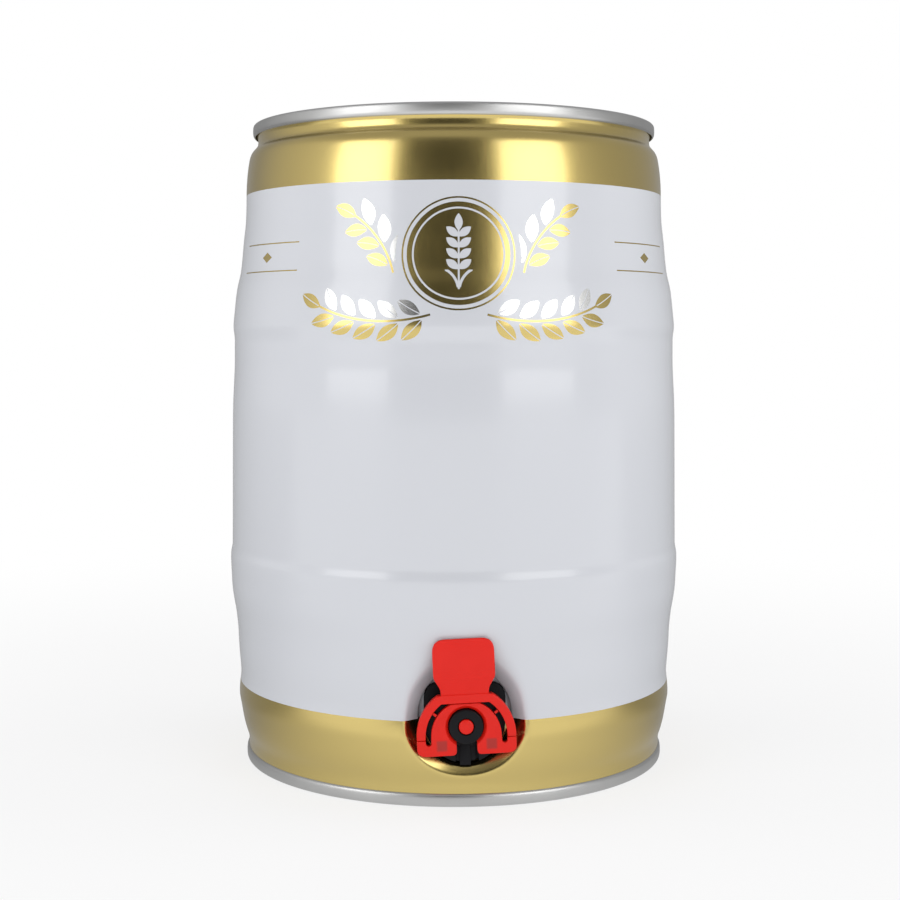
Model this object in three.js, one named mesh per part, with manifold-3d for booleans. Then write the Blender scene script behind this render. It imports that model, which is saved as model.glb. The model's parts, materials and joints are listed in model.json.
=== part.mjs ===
// Five-litre steel party keg with a built-in pull-out tap.
// Millimetres, +Z up. The origin is on the floor at the centre of the keg, and the tap faces -Y.
import * as THREE from 'three';
import { mergeVertices } from 'three/addons/utils/BufferGeometryUtils.js';
import Module from 'manifold-3d';

const wasm = await Module();
wasm.setup();

// ---------------------------------------------------------------- driving dimensions

// Overall
const HEIGHT = 240; // floor to the top rim
const BODY_RADIUS = 85.7; // the widest ring of the barrel, on the crest of the lower bead
const TINPLATE = 0.5; // sheet thickness of the barrel and both ends
const FIT = 0.3; // clearance between neighbouring pieces

// Barrel wall: how far each height lies inside BODY_RADIUS
const LOWER_WALL = [ // [height above the floor, inset]
  [8, 7.0],
  [14, 5.2],
  [24.5, 3.3],
  [32, 3.9], // shallow waist
  [47, 2.9],
  [62, 0.8],
  [70, 0.3],
  [75, 0], // crest of the lower bead
  [82, 0.6],
];
const UPPER_WALL = [ // [depth below the top rim, inset]
  [109, 0.8],
  [90, 1.4],
  [81, 1.4],
  [76.5, 0.95], // crest of the upper bead
  [70, 1.5],
  [56, 3.7],
  [40, 5.2],
  [26, 5.8],
  [14, 6.8],
  [11, 7.8],
  [8.5, 10.0],
];
const TOP_NECK_INSET = 10.3;
const TOP_NECK_GAP = 1; // from the top seam down to the neck
const FLANGE_RUN = 2; // straight part of each flange past the seam

// Double seams and ends
const SEAM_HEIGHT = 4.5;
const SEAM_CORNER = 0.5;
const TOP_SEAM_INSET = 8.3; // the top rim is narrower, so that a keg stands inside the rim below
const BOTTOM_SEAM_INSET = 6.2;
const COUNTERSINK_DEPTH = 6.4;
const COUNTERSINK_WIDTH = 1.6;
const PANEL_DEPTH = 5.2;
const PANEL_BEAD_RADIUS = 54;
const PANEL_BEAD_WIDTH = 6;
const PANEL_BEAD_RISE = 1;
const PANEL_BLEND = 1; // width of each slope on the panel
const SEALANT_HEIGHT = 0.6;

// Vent in the top end
const VENT_HOLE_RADIUS = 13;
const GROMMET_LIP = 2.5; // how far the lips reach over the sheet
const GROMMET_LIP_HEIGHT = 0.9;
const GROMMET_WALL = 3.2;
const BUSH_WALL = 2.6;
const BUSH_LIP = 2.2;
const BUSH_LIP_HEIGHT = 0.8;
const BUSH_LENGTH = 9.5;
const VENT_HEAD_HEIGHT = 1.9;
const VENT_HEAD_RADIUS = 9.6;
const VENT_HEAD_CORNER = 0.5;
const VENT_HEAD_RIM = 1; // left standing round the finger pockets
const VENT_BAR_WIDTH = 4;
const VENT_FINGER_DEPTH = 1.2;
const VENT_BORE_RADIUS = 1.2;
const VENT_PORT_RADIUS = 0.96; // side port of the plug
const VENT_PORT_RISE = 2.2; // above the foot of the stem
const VENT_STEM_SETBACK = 1; // foot of the stem above the foot of the bush
const VENT_SEAL_DEPTH = 1.2;
const VENT_SEAL_WIDTH = 1.6;
const VENT_SEAL_COVER = 0.6; // below the lip of the bush

// Pocket pressed into the front of the barrel
const TAP_HEIGHT = 28.5; // tap axis above the floor
const POCKET_RISE = 1.4; // pocket centre above the tap axis
const POCKET_DEPTH = 12.7; // floor of the pocket inside BODY_RADIUS
const POCKET_FLOOR_RADIUS = 18.2;
const POCKET_MOUTH_RADIUS = 20.4;
const POCKET_FILLET = 1.4;
const POCKET_FLARE = 7.5; // soft rounding of the upper edge, across
const POCKET_FLARE_DEPTH = 4.4; // and its depth below BODY_RADIUS
const POCKET_FLARE_STEPS = [0.2, 0.5, 1]; // shares of the rounding, one facet each

// Tap housing
const FACE_HALF_WIDTH = 14;
const FACE_TOP = 13.2; // above the tap axis
const FACE_CORNER = 5.2;
const FACE_THICKNESS = 1.8;
const HOUSING_LENGTH = 17;
const HOUSING_WALL = 2.5;
const GASKET_THICKNESS = 1.5;
const GASKET_WIDTH = 2.9;
const LOCK_RING_THICKNESS = 4;
const LOCK_RING_WIDTH = 4.6;
const SEAL_WIDTH = 1.8;
const SEAL_DEPTH = 1.2;
const SEAL_SETBACK = 5; // in front of the housing's rear end

// Spout
const TUBE_RADIUS = 8;
const TUBE_BORE_RADIUS = 5;
const SPOUT_TRAVEL = 28;
const NOZZLE_THICKNESS = 3.7;
const NECK_HALF_WIDTH = 3.9;
const NECK_DROP = 12.9; // lower end of the neck below the tap axis
const RIDGE_HALF_WIDTH = 1.9;
const RIDGE_RISE = 0.7;
const RIDGE_DROP = 14.2; // mouth of the spout below the tap axis
const CHANNEL_WIDTH = 2.4;
const CHANNEL_DEPTH = 1.7;
const NECK_ROOT = 1; // how far the neck starts inside the tube's wall
const STOP_RING_WIDTH = 2.7;
const STOP_RING_THICKNESS = 2;
const STOP_GROOVE_DEPTH = 0.8;
const STOP_RING_GAP = 2.4;
const TUBE_TAIL = 1.7;

// Valve core
const CORE_BORE_RADIUS = 2.6;
const CORE_NOSE_RADIUS = 3.4;
const CORE_NOSE_LENGTH = 1.2;
const CORE_FRONT_WALL = 0.8;
const CORE_PORT_RADIUS = 0.75;
const CORE_FLANGE_RADIUS = 7;
const CORE_FLANGE_THICKNESS = 2;
const CORE_SEAL_DEPTH = 0.9;
const CORE_SEAL_WIDTH = 1.6;
const CORE_SEAL_INSET = 0.1; // front seal behind the front of the tube
const CORE_SEAL_SETBACK = 5.6; // rear seal behind the front end of the tube
const PIN_RADIUS = 2.5;
const PIN_PROUD = 0.4;
const PIN_DOME = 0.7; // radius of the pin's flat tip, as a share of PIN_RADIUS

// Drive collar, in front of the spout
const COLLAR_RADIUS = 13;
const COLLAR_THICKNESS = 1.5;
const HUB_RADIUS = 5.8;
const HUB_PROUD = 0.5;
const HUB_CORNER = 0.4;
const PEG_SIZE = 3.4;
const PEG_LENGTH = 1.6;
const PEG_X = 8.4;
const PEG_DROP = 6.1;

// Handle plate and pull bail
const HANDLE_LEAN = 2.5; // degrees that the handle sits askew, upper end towards -X
const HANDLE_THICKNESS = 2.5;
const ARCH_RADIUS = 16.8;
const ARCH_DROP = 3.2; // centre of the arch below the tap axis
const BAND_WIDTH = 3;
const SLOT_WIDTH = 1.9;
const SLOT_DROP = 5.1;
const FOOT_DROP = 9.5;
const FOOT_CORNER = 3;
const JAW_HALF_GAP = 3.5;
const JAW_CORNER = 1.3;
const MOUTH_CHAMFER = 0.9;
const MOUTH_STRAIGHT = 0.75; // unchamfered part of the mouth, at the back
const HINGE_DROP = 4;
const BAND_TOP = 10.8; // flat top of the band above the tap axis
const BAND_TOP_WIDTH = 2.8; // the band's width under its flat top
const BAND_PROUD = 0.6;
const FLAP_HALF_WIDTH = 10.45;
const FLAP_WAIST_HALF_WIDTH = 8.15;
const FLAP_TOP = 30;
const FLAP_BEND = 16.5;
const FLAP_WAIST_HEIGHT = 13;
const FLAP_CORNER = 5;
const FLAP_THICKNESS = 1.1;
const FLAP_ROOT_THICKNESS = 1.43;
const FLAP_ROOT_DROP = 1.5; // how far the flap's root runs down inside the band
const FLAP_CREASE = 0.4; // rise of the rear creases over the front ones
const FLAP_SHOULDER = 1; // straight side above the bend
const BRIDGE_ANGLE = 36; // degrees up the arch
const BRIDGE_THICKNESS = 0.8;
const BRIDGE_DEPTH = 1;

// Facets round a full turn
const BARREL_SIDES = 40;
const TAP_SIDES = 28;
const SMALL_SIDES = 20;
const OVERSHOOT = 5; // how far a cutter runs past what it cuts
const CHAMFER_OVERSHOOT = 1;

// ---------------------------------------------------------------- dependent places

const topSeamRadius = BODY_RADIUS - TOP_SEAM_INSET;
const bottomSeamRadius = BODY_RADIUS - BOTTOM_SEAM_INSET;
const topFlangeRadius = topSeamRadius - TINPLATE - FIT;
const bottomFlangeRadius = bottomSeamRadius - TINPLATE - FIT;
const topNeckRadius = BODY_RADIUS - TOP_NECK_INSET;
const flangeStop = TINPLATE + SEALANT_HEIGHT + 2 * FIT; // flange end below the rim

// Along the tap axis, every place is a y; the pocket floor is the datum and the front is -Y.
const pocketFloorY = -(BODY_RADIUS - POCKET_DEPTH);
const faceBackY = pocketFloorY - FIT;
const faceFrontY = faceBackY - FACE_THICKNESS;
const nozzleBackY = faceFrontY - FIT;
const tubeFrontY = nozzleBackY - NOZZLE_THICKNESS;
const collarBackY = tubeFrontY - FIT;
const collarFrontY = collarBackY - COLLAR_THICKNESS;
const handleBackY = collarFrontY - FIT;
const handleFrontY = handleBackY - HANDLE_THICKNESS;
const hubFrontY = handleFrontY - HUB_PROUD;
const housingRearY = faceBackY + HOUSING_LENGTH;
const stopRingFrontY = housingRearY + SPOUT_TRAVEL + FIT;
const stopRingRearY = stopRingFrontY + STOP_RING_THICKNESS;
const tubeRearY = stopRingRearY + FIT + TUBE_TAIL;
const coreRearY = tubeRearY + FIT + CORE_FLANGE_THICKNESS;

const housingBoreRadius = TUBE_RADIUS + FIT;
const sleeveRadius = housingBoreRadius + HOUSING_WALL;
const pocketHoleRadius = sleeveRadius + FIT;
const coreRadius = TUBE_BORE_RADIUS - FIT;
const channelFrontY = tubeFrontY + CORE_NOSE_LENGTH;
const channelMiddleY = channelFrontY + CHANNEL_DEPTH / 2;

// ---------------------------------------------------------------- helpers

const degrees = THREE.MathUtils.degToRad;

// A closed, outward-facing mesh with shared vertices.
function closed(geometry) {
  geometry.deleteAttribute('normal');
  geometry.deleteAttribute('uv');
  const merged = mergeVertices(geometry, 1e-4);
  const corners = merged.index.array;
  const at = (i) => new THREE.Vector3().fromBufferAttribute(merged.attributes.position, i);
  const kept = [];
  let volume = 0;
  for (let i = 0; i < corners.length; i += 3) {
    const [a, b, c] = [corners[i], corners[i + 1], corners[i + 2]];
    if (a === b || b === c || c === a) continue;
    kept.push(a, b, c);
    volume += at(a).dot(at(b).cross(at(c)));
  }
  if (volume < 0) kept.reverse();
  merged.setIndex(kept);
  return merged;
}

function solidOf(geometry) {
  return new wasm.Manifold(new wasm.Mesh({
    numProp: 3,
    vertProperties: new Float32Array(geometry.attributes.position.array),
    triVerts: new Uint32Array(geometry.index.array),
  }));
}

function geometryOf(solid) {
  const mesh = solid.getMesh();
  const geometry = new THREE.BufferGeometry();
  geometry.setAttribute('position', new THREE.BufferAttribute(mesh.vertProperties, 3));
  geometry.setIndex(new THREE.BufferAttribute(mesh.triVerts, 1));
  return geometry;
}

// Turned about the tap axis (+Y) from [radius, y] pairs. A ring's outline is closed by ringed().
function turnedY(pairs, sides) {
  return closed(new THREE.LatheGeometry(pairs.map(([r, y]) => new THREE.Vector2(r, y)), sides));
}

// Turned about the keg's axis (+Z) from [radius, z] pairs.
function turnedZ(pairs, sides) {
  return turnedY(pairs, sides).rotateX(Math.PI / 2);
}

function ringed(pairs) {
  return [...pairs, pairs[0]];
}

function ringPairs(inner, outer, from, to) {
  return ringed([[inner, from], [outer, from], [outer, to], [inner, to]]);
}

function discPairs(radius, from, to) {
  return [[0, from], [radius, from], [radius, to], [0, to]];
}

// A front-view shape (x right, y up from the tap axis) given thickness towards -Y.
function slab(shape, backY, thickness) {
  const geometry = new THREE.ExtrudeGeometry(shape, {
    depth: thickness, bevelEnabled: false, curveSegments: 7,
  });
  return closed(geometry.rotateX(Math.PI / 2).translate(0, backY, 0));
}

// A box between two corners.
function block(low, high) {
  const size = high.map((value, i) => value - low[i]);
  const middle = high.map((value, i) => (value + low[i]) / 2);
  return closed(new THREE.BoxGeometry(...size).translate(...middle));
}

function polygon(pairs) {
  return new THREE.Shape(pairs.map(([x, y]) => new THREE.Vector2(x, y)));
}

// ---------------------------------------------------------------- barrel

// The outer wall as [radius, z] pairs, from the bottom flange to the top flange.
function outerWall() {
  const lower = LOWER_WALL.map(([z, inset]) => [BODY_RADIUS - inset, z]);
  const upper = UPPER_WALL.map(([depth, inset]) => [BODY_RADIUS - inset, HEIGHT - depth]);
  return [
    [bottomFlangeRadius, flangeStop],
    [bottomFlangeRadius, SEAM_HEIGHT + FLANGE_RUN],
    ...lower,
    ...upper,
    [topNeckRadius, HEIGHT - SEAM_HEIGHT - TOP_NECK_GAP],
    [topFlangeRadius, HEIGHT - SEAM_HEIGHT + FLANGE_RUN],
    [topFlangeRadius, HEIGHT - flangeStop],
  ];
}

// The pocket as a solid of air; skin grows it by the sheet's thickness.
function pocket(skin) {
  const mouthY = -(BODY_RADIUS - POCKET_FLARE_DEPTH) + skin;
  const flare = POCKET_FLARE_STEPS.map((t) => [
    POCKET_MOUTH_RADIUS + skin + POCKET_FLARE * t,
    mouthY - POCKET_FLARE_DEPTH * Math.sqrt(t),
  ]);
  const floorY = pocketFloorY + skin;
  const floorRadius = POCKET_FLOOR_RADIUS + skin;
  const profile = [
    [0, floorY],
    [floorRadius - POCKET_FILLET, floorY],
    [floorRadius, floorY - POCKET_FILLET],
    [POCKET_MOUTH_RADIUS + skin, mouthY],
    ...flare,
    [POCKET_MOUTH_RADIUS + skin + POCKET_FLARE, -BODY_RADIUS - OVERSHOOT],
    [0, -BODY_RADIUS - OVERSHOOT],
  ];
  return solidOf(turnedY(profile, TAP_SIDES).translate(0, 0, TAP_HEIGHT + POCKET_RISE));
}

function bodyShell() {
  const wall = outerWall();
  const bottom = wall[0][1];
  const top = wall[wall.length - 1][1];
  const outer = solidOf(turnedZ([[0, bottom], ...wall, [0, top]], BARREL_SIDES));
  const lining = wall.map(([r, z]) => [r - TINPLATE, z]);
  const inner = solidOf(turnedZ([
    [0, bottom - OVERSHOOT],
    [lining[0][0], bottom - OVERSHOOT],
    ...lining,
    [lining[lining.length - 1][0], top + OVERSHOOT],
    [0, top + OVERSHOOT],
  ], BARREL_SIDES));
  const hole = solidOf(turnedY(
    discPairs(pocketHoleRadius, pocketFloorY - OVERSHOOT, pocketFloorY + OVERSHOOT), TAP_SIDES,
  ).translate(0, 0, TAP_HEIGHT));
  const hollow = inner.subtract(pocket(TINPLATE));
  return geometryOf(outer.subtract(pocket(0)).subtract(hollow).subtract(hole));
}

// An end's section as [radius, depth below the rim] pairs: curl, chuck wall, countersink, panel.
function endPairs(seamRadius, neckRadius, holeRadius) {
  const curlInner = seamRadius - TINPLATE;
  const chuckTop = seamRadius - 2 * TINPLATE - TINPLATE - 2 * FIT;
  const chuckFoot = Math.min(chuckTop, neckRadius - 2 * TINPLATE - 2 * FIT);
  const sinkInner = chuckFoot - COUNTERSINK_WIDTH;
  const beadOuter = PANEL_BEAD_RADIUS + PANEL_BEAD_WIDTH / 2;
  const beadInner = PANEL_BEAD_RADIUS - PANEL_BEAD_WIDTH / 2;
  const beadDepth = PANEL_DEPTH - PANEL_BEAD_RISE;
  const panel = [ // the shown face, from the rim inwards
    [chuckFoot, COUNTERSINK_DEPTH],
    [sinkInner, COUNTERSINK_DEPTH],
    [sinkInner - PANEL_BLEND, PANEL_DEPTH],
    [beadOuter + PANEL_BLEND, PANEL_DEPTH],
    [beadOuter, beadDepth],
    [beadInner, beadDepth],
    [beadInner - PANEL_BLEND, PANEL_DEPTH],
    [holeRadius, PANEL_DEPTH],
  ];
  const hidden = panel.map(([r, depth]) => [r, depth + TINPLATE]).reverse();
  hidden[hidden.length - 1][0] += TINPLATE;
  return [
    ...panel,
    ...hidden,
    [chuckTop + TINPLATE, TINPLATE],
    [curlInner, TINPLATE],
    [curlInner, SEAM_HEIGHT],
    [seamRadius, SEAM_HEIGHT],
    [seamRadius, SEAM_CORNER],
    [seamRadius - SEAM_CORNER, 0],
    [chuckTop + SEAM_CORNER, 0],
    [chuckTop, SEAM_CORNER],
  ];
}

function topEnd() {
  const pairs = endPairs(topSeamRadius, topNeckRadius, VENT_HOLE_RADIUS);
  return turnedZ(ringed(pairs.map(([r, depth]) => [r, HEIGHT - depth])), BARREL_SIDES);
}

function bottomEnd() {
  const pairs = endPairs(bottomSeamRadius, bottomFlangeRadius + TINPLATE, 0);
  const shownCentre = pairs.findIndex(([r]) => r === 0);
  const open = [...pairs.slice(shownCentre + 1), ...pairs.slice(0, shownCentre + 1)];
  return turnedZ(open, BARREL_SIDES);
}

// Sealing compound between a flange's edge and the top of its curl.
function sealant(flangeRadius, fromZ) {
  const pairs = ringPairs(flangeRadius - TINPLATE, flangeRadius, fromZ, fromZ + SEALANT_HEIGHT);
  return turnedZ(pairs, BARREL_SIDES);
}

// ---------------------------------------------------------------- vent

const panelZ = HEIGHT - PANEL_DEPTH;
const lipTopZ = panelZ + FIT + GROMMET_LIP_HEIGHT;
const bushLipZ = lipTopZ + FIT;
const ventHeadZ = bushLipZ + BUSH_LIP_HEIGHT + FIT;
const grommetRadius = VENT_HOLE_RADIUS - FIT;
const bushRadius = grommetRadius - GROMMET_WALL - FIT;
const stemRadius = bushRadius - BUSH_WALL - FIT;
const stemFootZ = bushLipZ - BUSH_LENGTH + VENT_STEM_SETBACK;
const ventPortZ = stemFootZ + VENT_PORT_RISE;
const ventSealZ = bushLipZ - VENT_SEAL_WIDTH - VENT_SEAL_COVER;

function ventGrommet() {
  const lipRadius = VENT_HOLE_RADIUS + GROMMET_LIP;
  const underZ = panelZ - TINPLATE - FIT;
  return turnedZ(ringed([
    [grommetRadius - GROMMET_WALL, lipTopZ],
    [lipRadius, lipTopZ],
    [lipRadius, panelZ + FIT],
    [grommetRadius, panelZ + FIT],
    [grommetRadius, underZ],
    [lipRadius, underZ],
    [grommetRadius, underZ - 2 * GROMMET_LIP_HEIGHT],
    [grommetRadius - GROMMET_WALL, underZ - 2 * GROMMET_LIP_HEIGHT],
  ]), SMALL_SIDES);
}

function radialHole(radius, reach) {
  return closed(new THREE.CylinderGeometry(radius, radius, reach, SMALL_SIDES / 2));
}

function ventBush() {
  const bush = solidOf(turnedZ(ringed([
    [bushRadius - BUSH_WALL, bushLipZ + BUSH_LIP_HEIGHT],
    [bushRadius + BUSH_LIP, bushLipZ + BUSH_LIP_HEIGHT],
    [bushRadius + BUSH_LIP, bushLipZ],
    [bushRadius, bushLipZ],
    [bushRadius, bushLipZ - BUSH_LENGTH],
    [bushRadius - BUSH_WALL, bushLipZ - BUSH_LENGTH],
  ]), SMALL_SIDES));
  const port = radialHole(VENT_BORE_RADIUS, 2 * BUSH_WALL).translate(0, bushRadius, ventPortZ);
  return geometryOf(bush.subtract(solidOf(port)));
}

function ventPlug() {
  const headTop = ventHeadZ + VENT_HEAD_HEIGHT;
  const grooveRadius = stemRadius - VENT_SEAL_DEPTH;
  const plug = solidOf(turnedZ([
    [0, headTop],
    [VENT_HEAD_RADIUS - VENT_HEAD_CORNER, headTop],
    [VENT_HEAD_RADIUS, headTop - VENT_HEAD_CORNER],
    [VENT_HEAD_RADIUS, ventHeadZ],
    [stemRadius, ventHeadZ],
    [stemRadius, ventSealZ + VENT_SEAL_WIDTH],
    [grooveRadius, ventSealZ + VENT_SEAL_WIDTH],
    [grooveRadius, ventSealZ],
    [stemRadius, ventSealZ],
    [stemRadius, stemFootZ],
    [0, stemFootZ],
  ], SMALL_SIDES));
  const fingerShape = new THREE.Shape();
  const reach = VENT_HEAD_RADIUS - VENT_HEAD_RIM;
  const start = Math.asin(VENT_BAR_WIDTH / 2 / reach);
  fingerShape.absarc(0, 0, reach, start, Math.PI - start);
  const finger = new THREE.ExtrudeGeometry(fingerShape, {
    depth: VENT_FINGER_DEPTH + OVERSHOOT, bevelEnabled: false, curveSegments: 10,
  }).translate(0, 0, headTop - VENT_FINGER_DEPTH);
  const pocketSolid = solidOf(closed(finger));
  const bore = solidOf(turnedZ(
    discPairs(VENT_BORE_RADIUS, ventPortZ - VENT_PORT_RADIUS, headTop + OVERSHOOT), SMALL_SIDES / 2,
  ));
  const portReach = stemRadius + OVERSHOOT;
  const port = radialHole(VENT_PORT_RADIUS, portReach)
    .rotateZ(Math.PI / 2).translate(portReach / 2, 0, ventPortZ);
  return geometryOf(plug.subtract(pocketSolid).subtract(pocketSolid.rotate([0, 0, 180]))
    .subtract(bore).subtract(solidOf(port)));
}

function ventSeal() {
  const inner = stemRadius - VENT_SEAL_DEPTH + FIT / 2;
  return turnedZ(ringPairs(
    inner, stemRadius, ventSealZ + FIT / 2, ventSealZ + VENT_SEAL_WIDTH - FIT / 2,
  ), SMALL_SIDES);
}

// ---------------------------------------------------------------- tap housing

const housingSealY = housingRearY - SEAL_SETBACK;

function faceShape() {
  const shape = new THREE.Shape();
  const side = FACE_HALF_WIDTH;
  const cornerX = side - FACE_CORNER;
  const cornerY = FACE_TOP - FACE_CORNER;
  shape.absarc(0, 0, side, Math.PI, 2 * Math.PI);
  shape.absarc(cornerX, cornerY, FACE_CORNER, 0, Math.PI / 2);
  shape.absarc(-cornerX, cornerY, FACE_CORNER, Math.PI / 2, Math.PI);
  return shape;
}

function tapHousing() {
  const face = solidOf(slab(faceShape(), faceBackY, FACE_THICKNESS));
  const sleeve = solidOf(turnedY(
    discPairs(sleeveRadius, faceFrontY + FACE_THICKNESS / 2, housingRearY), TAP_SIDES,
  ));
  const grooveRadius = housingBoreRadius + SEAL_DEPTH + FIT;
  const bore = solidOf(turnedY([
    [0, faceFrontY - OVERSHOOT],
    [housingBoreRadius, faceFrontY - OVERSHOOT],
    [housingBoreRadius, housingSealY - FIT],
    [grooveRadius, housingSealY - FIT],
    [grooveRadius, housingSealY + SEAL_WIDTH + FIT],
    [housingBoreRadius, housingSealY + SEAL_WIDTH + FIT],
    [housingBoreRadius, housingRearY + OVERSHOOT],
    [0, housingRearY + OVERSHOOT],
  ], TAP_SIDES));
  return geometryOf(face.add(sleeve).subtract(bore));
}

function housingSeal() {
  return turnedY(ringPairs(
    housingBoreRadius, housingBoreRadius + SEAL_DEPTH, housingSealY, housingSealY + SEAL_WIDTH,
  ), TAP_SIDES);
}

const gasketY = pocketFloorY + TINPLATE + FIT;
const lockRingY = gasketY + GASKET_THICKNESS + FIT;

function housingGasket() {
  return turnedY(ringPairs(
    pocketHoleRadius, pocketHoleRadius + GASKET_WIDTH, gasketY, gasketY + GASKET_THICKNESS,
  ), TAP_SIDES);
}

// A hexagonal ring that clamps the housing from inside the keg.
function housingLockRing() {
  const hexagon = solidOf(turnedY(discPairs(
    pocketHoleRadius + LOCK_RING_WIDTH, lockRingY, lockRingY + LOCK_RING_THICKNESS,
  ), 6));
  const bore = solidOf(turnedY(discPairs(
    pocketHoleRadius, lockRingY - OVERSHOOT, lockRingY + LOCK_RING_THICKNESS + OVERSHOOT,
  ), TAP_SIDES));
  return geometryOf(hexagon.subtract(bore));
}

// ---------------------------------------------------------------- spout

function spoutTube() {
  const grooveRadius = TUBE_RADIUS - STOP_GROOVE_DEPTH;
  const tube = solidOf(turnedY(ringed([
    [TUBE_BORE_RADIUS, tubeFrontY],
    [TUBE_RADIUS, tubeFrontY],
    [TUBE_RADIUS, stopRingFrontY - FIT],
    [grooveRadius, stopRingFrontY - FIT],
    [grooveRadius, stopRingRearY + FIT],
    [TUBE_RADIUS, stopRingRearY + FIT],
    [TUBE_RADIUS, tubeRearY],
    [TUBE_BORE_RADIUS, tubeRearY],
  ]), TAP_SIDES));
  const inside = -TUBE_BORE_RADIUS - NECK_ROOT;
  const neck = block(
    [-NECK_HALF_WIDTH, tubeFrontY + RIDGE_RISE, -NECK_DROP],
    [NECK_HALF_WIDTH, nozzleBackY, inside],
  );
  const ridge = block(
    [-RIDGE_HALF_WIDTH, tubeFrontY, -RIDGE_DROP],
    [RIDGE_HALF_WIDTH, nozzleBackY - RIDGE_RISE / 2, inside],
  );
  const channel = block(
    [-CHANNEL_WIDTH / 2, channelFrontY, -RIDGE_DROP - OVERSHOOT],
    [CHANNEL_WIDTH / 2, channelFrontY + CHANNEL_DEPTH, 0],
  );
  return geometryOf(tube.add(solidOf(neck)).add(solidOf(ridge)).subtract(solidOf(channel)));
}

// A split ring in the tube's groove, which meets the housing at full travel.
function spoutStopRing() {
  const inner = TUBE_RADIUS - STOP_GROOVE_DEPTH + FIT;
  const ring = solidOf(turnedY(
    ringPairs(inner, inner + STOP_RING_WIDTH, stopRingFrontY, stopRingRearY), TAP_SIDES,
  ));
  const split = block(
    [-STOP_RING_GAP / 2, stopRingFrontY - OVERSHOOT, 0],
    [STOP_RING_GAP / 2, stopRingRearY + OVERSHOOT, inner + STOP_RING_WIDTH + OVERSHOOT],
  );
  return geometryOf(ring.subtract(solidOf(split)));
}

// ---------------------------------------------------------------- valve core and drive collar

const coreSealY = tubeFrontY + CORE_SEAL_SETBACK;

function valveCore() {
  const grooveRadius = coreRadius - CORE_SEAL_DEPTH - FIT;
  const noseY = tubeFrontY + CORE_NOSE_LENGTH;
  const pinTipY = hubFrontY - PIN_PROUD;
  const core = solidOf(turnedY([
    [0, tubeFrontY + CORE_FRONT_WALL],
    [CORE_BORE_RADIUS, tubeFrontY + CORE_FRONT_WALL],
    [CORE_BORE_RADIUS, coreRearY],
    [CORE_FLANGE_RADIUS, coreRearY],
    [CORE_FLANGE_RADIUS, tubeRearY + FIT],
    [coreRadius, tubeRearY + FIT],
    [coreRadius, coreSealY + CORE_SEAL_WIDTH + FIT],
    [grooveRadius, coreSealY + CORE_SEAL_WIDTH + FIT],
    [grooveRadius, coreSealY - FIT],
    [coreRadius, coreSealY - FIT],
    [coreRadius, noseY],
    [CORE_NOSE_RADIUS, noseY],
    [CORE_NOSE_RADIUS, tubeFrontY],
    [PIN_RADIUS, tubeFrontY],
    [PIN_RADIUS, pinTipY + PIN_PROUD],
    [PIN_RADIUS * PIN_DOME, pinTipY],
    [0, pinTipY],
  ], SMALL_SIDES));
  const portReach = coreRadius + OVERSHOOT;
  const port = radialHole(CORE_PORT_RADIUS, portReach)
    .rotateZ(Math.PI / 2).translate(portReach / 2, channelMiddleY, 0);
  return geometryOf(core.subtract(solidOf(port)));
}

function coreSealFront() {
  return turnedY(ringPairs(
    CORE_NOSE_RADIUS + FIT, coreRadius, tubeFrontY + CORE_SEAL_INSET, tubeFrontY + CORE_NOSE_LENGTH - FIT,
  ), SMALL_SIDES);
}

function coreSealRear() {
  return turnedY(ringPairs(
    coreRadius - CORE_SEAL_DEPTH, coreRadius, coreSealY, coreSealY + CORE_SEAL_WIDTH,
  ), SMALL_SIDES);
}

function driveCollar() {
  const collar = solidOf(turnedY(ringed([
    [PIN_RADIUS + FIT, collarBackY],
    [COLLAR_RADIUS, collarBackY],
    [COLLAR_RADIUS, collarFrontY],
    [HUB_RADIUS, collarFrontY],
    [HUB_RADIUS, hubFrontY + HUB_CORNER],
    [HUB_RADIUS - HUB_CORNER, hubFrontY],
    [PIN_RADIUS + FIT, hubFrontY],
  ]), TAP_SIDES));
  const gap = block(
    [-NECK_HALF_WIDTH, collarFrontY - OVERSHOOT, -COLLAR_RADIUS - OVERSHOOT],
    [NECK_HALF_WIDTH, collarBackY + OVERSHOOT, -HUB_RADIUS - FIT / 2],
  );
  const pegs = [-PEG_X, PEG_X].map((x) => solidOf(block(
    [x - PEG_SIZE / 2, handleBackY - PEG_LENGTH, -PEG_DROP - PEG_SIZE / 2],
    [x + PEG_SIZE / 2, collarFrontY + COLLAR_THICKNESS / 2, -PEG_DROP + PEG_SIZE / 2],
  )));
  return geometryOf(collar.subtract(solidOf(gap)).add(pegs[0]).add(pegs[1]));
}

// ---------------------------------------------------------------- handle plate and pull bail

const bandInner = ARCH_RADIUS - BAND_WIDTH;
const plateArch = bandInner - SLOT_WIDTH;
const plateTop = BAND_TOP - BAND_TOP_WIDTH - FIT;
const bandUnder = plateTop + FIT;
const hingeTop = -HINGE_DROP + FIT / 2;
const hingeFoot = -HINGE_DROP - FIT / 2;

// The angle at which an arch of this radius reaches a height above the tap axis.
function archAngle(radius, height) {
  return Math.asin((height + ARCH_DROP) / radius);
}

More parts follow.
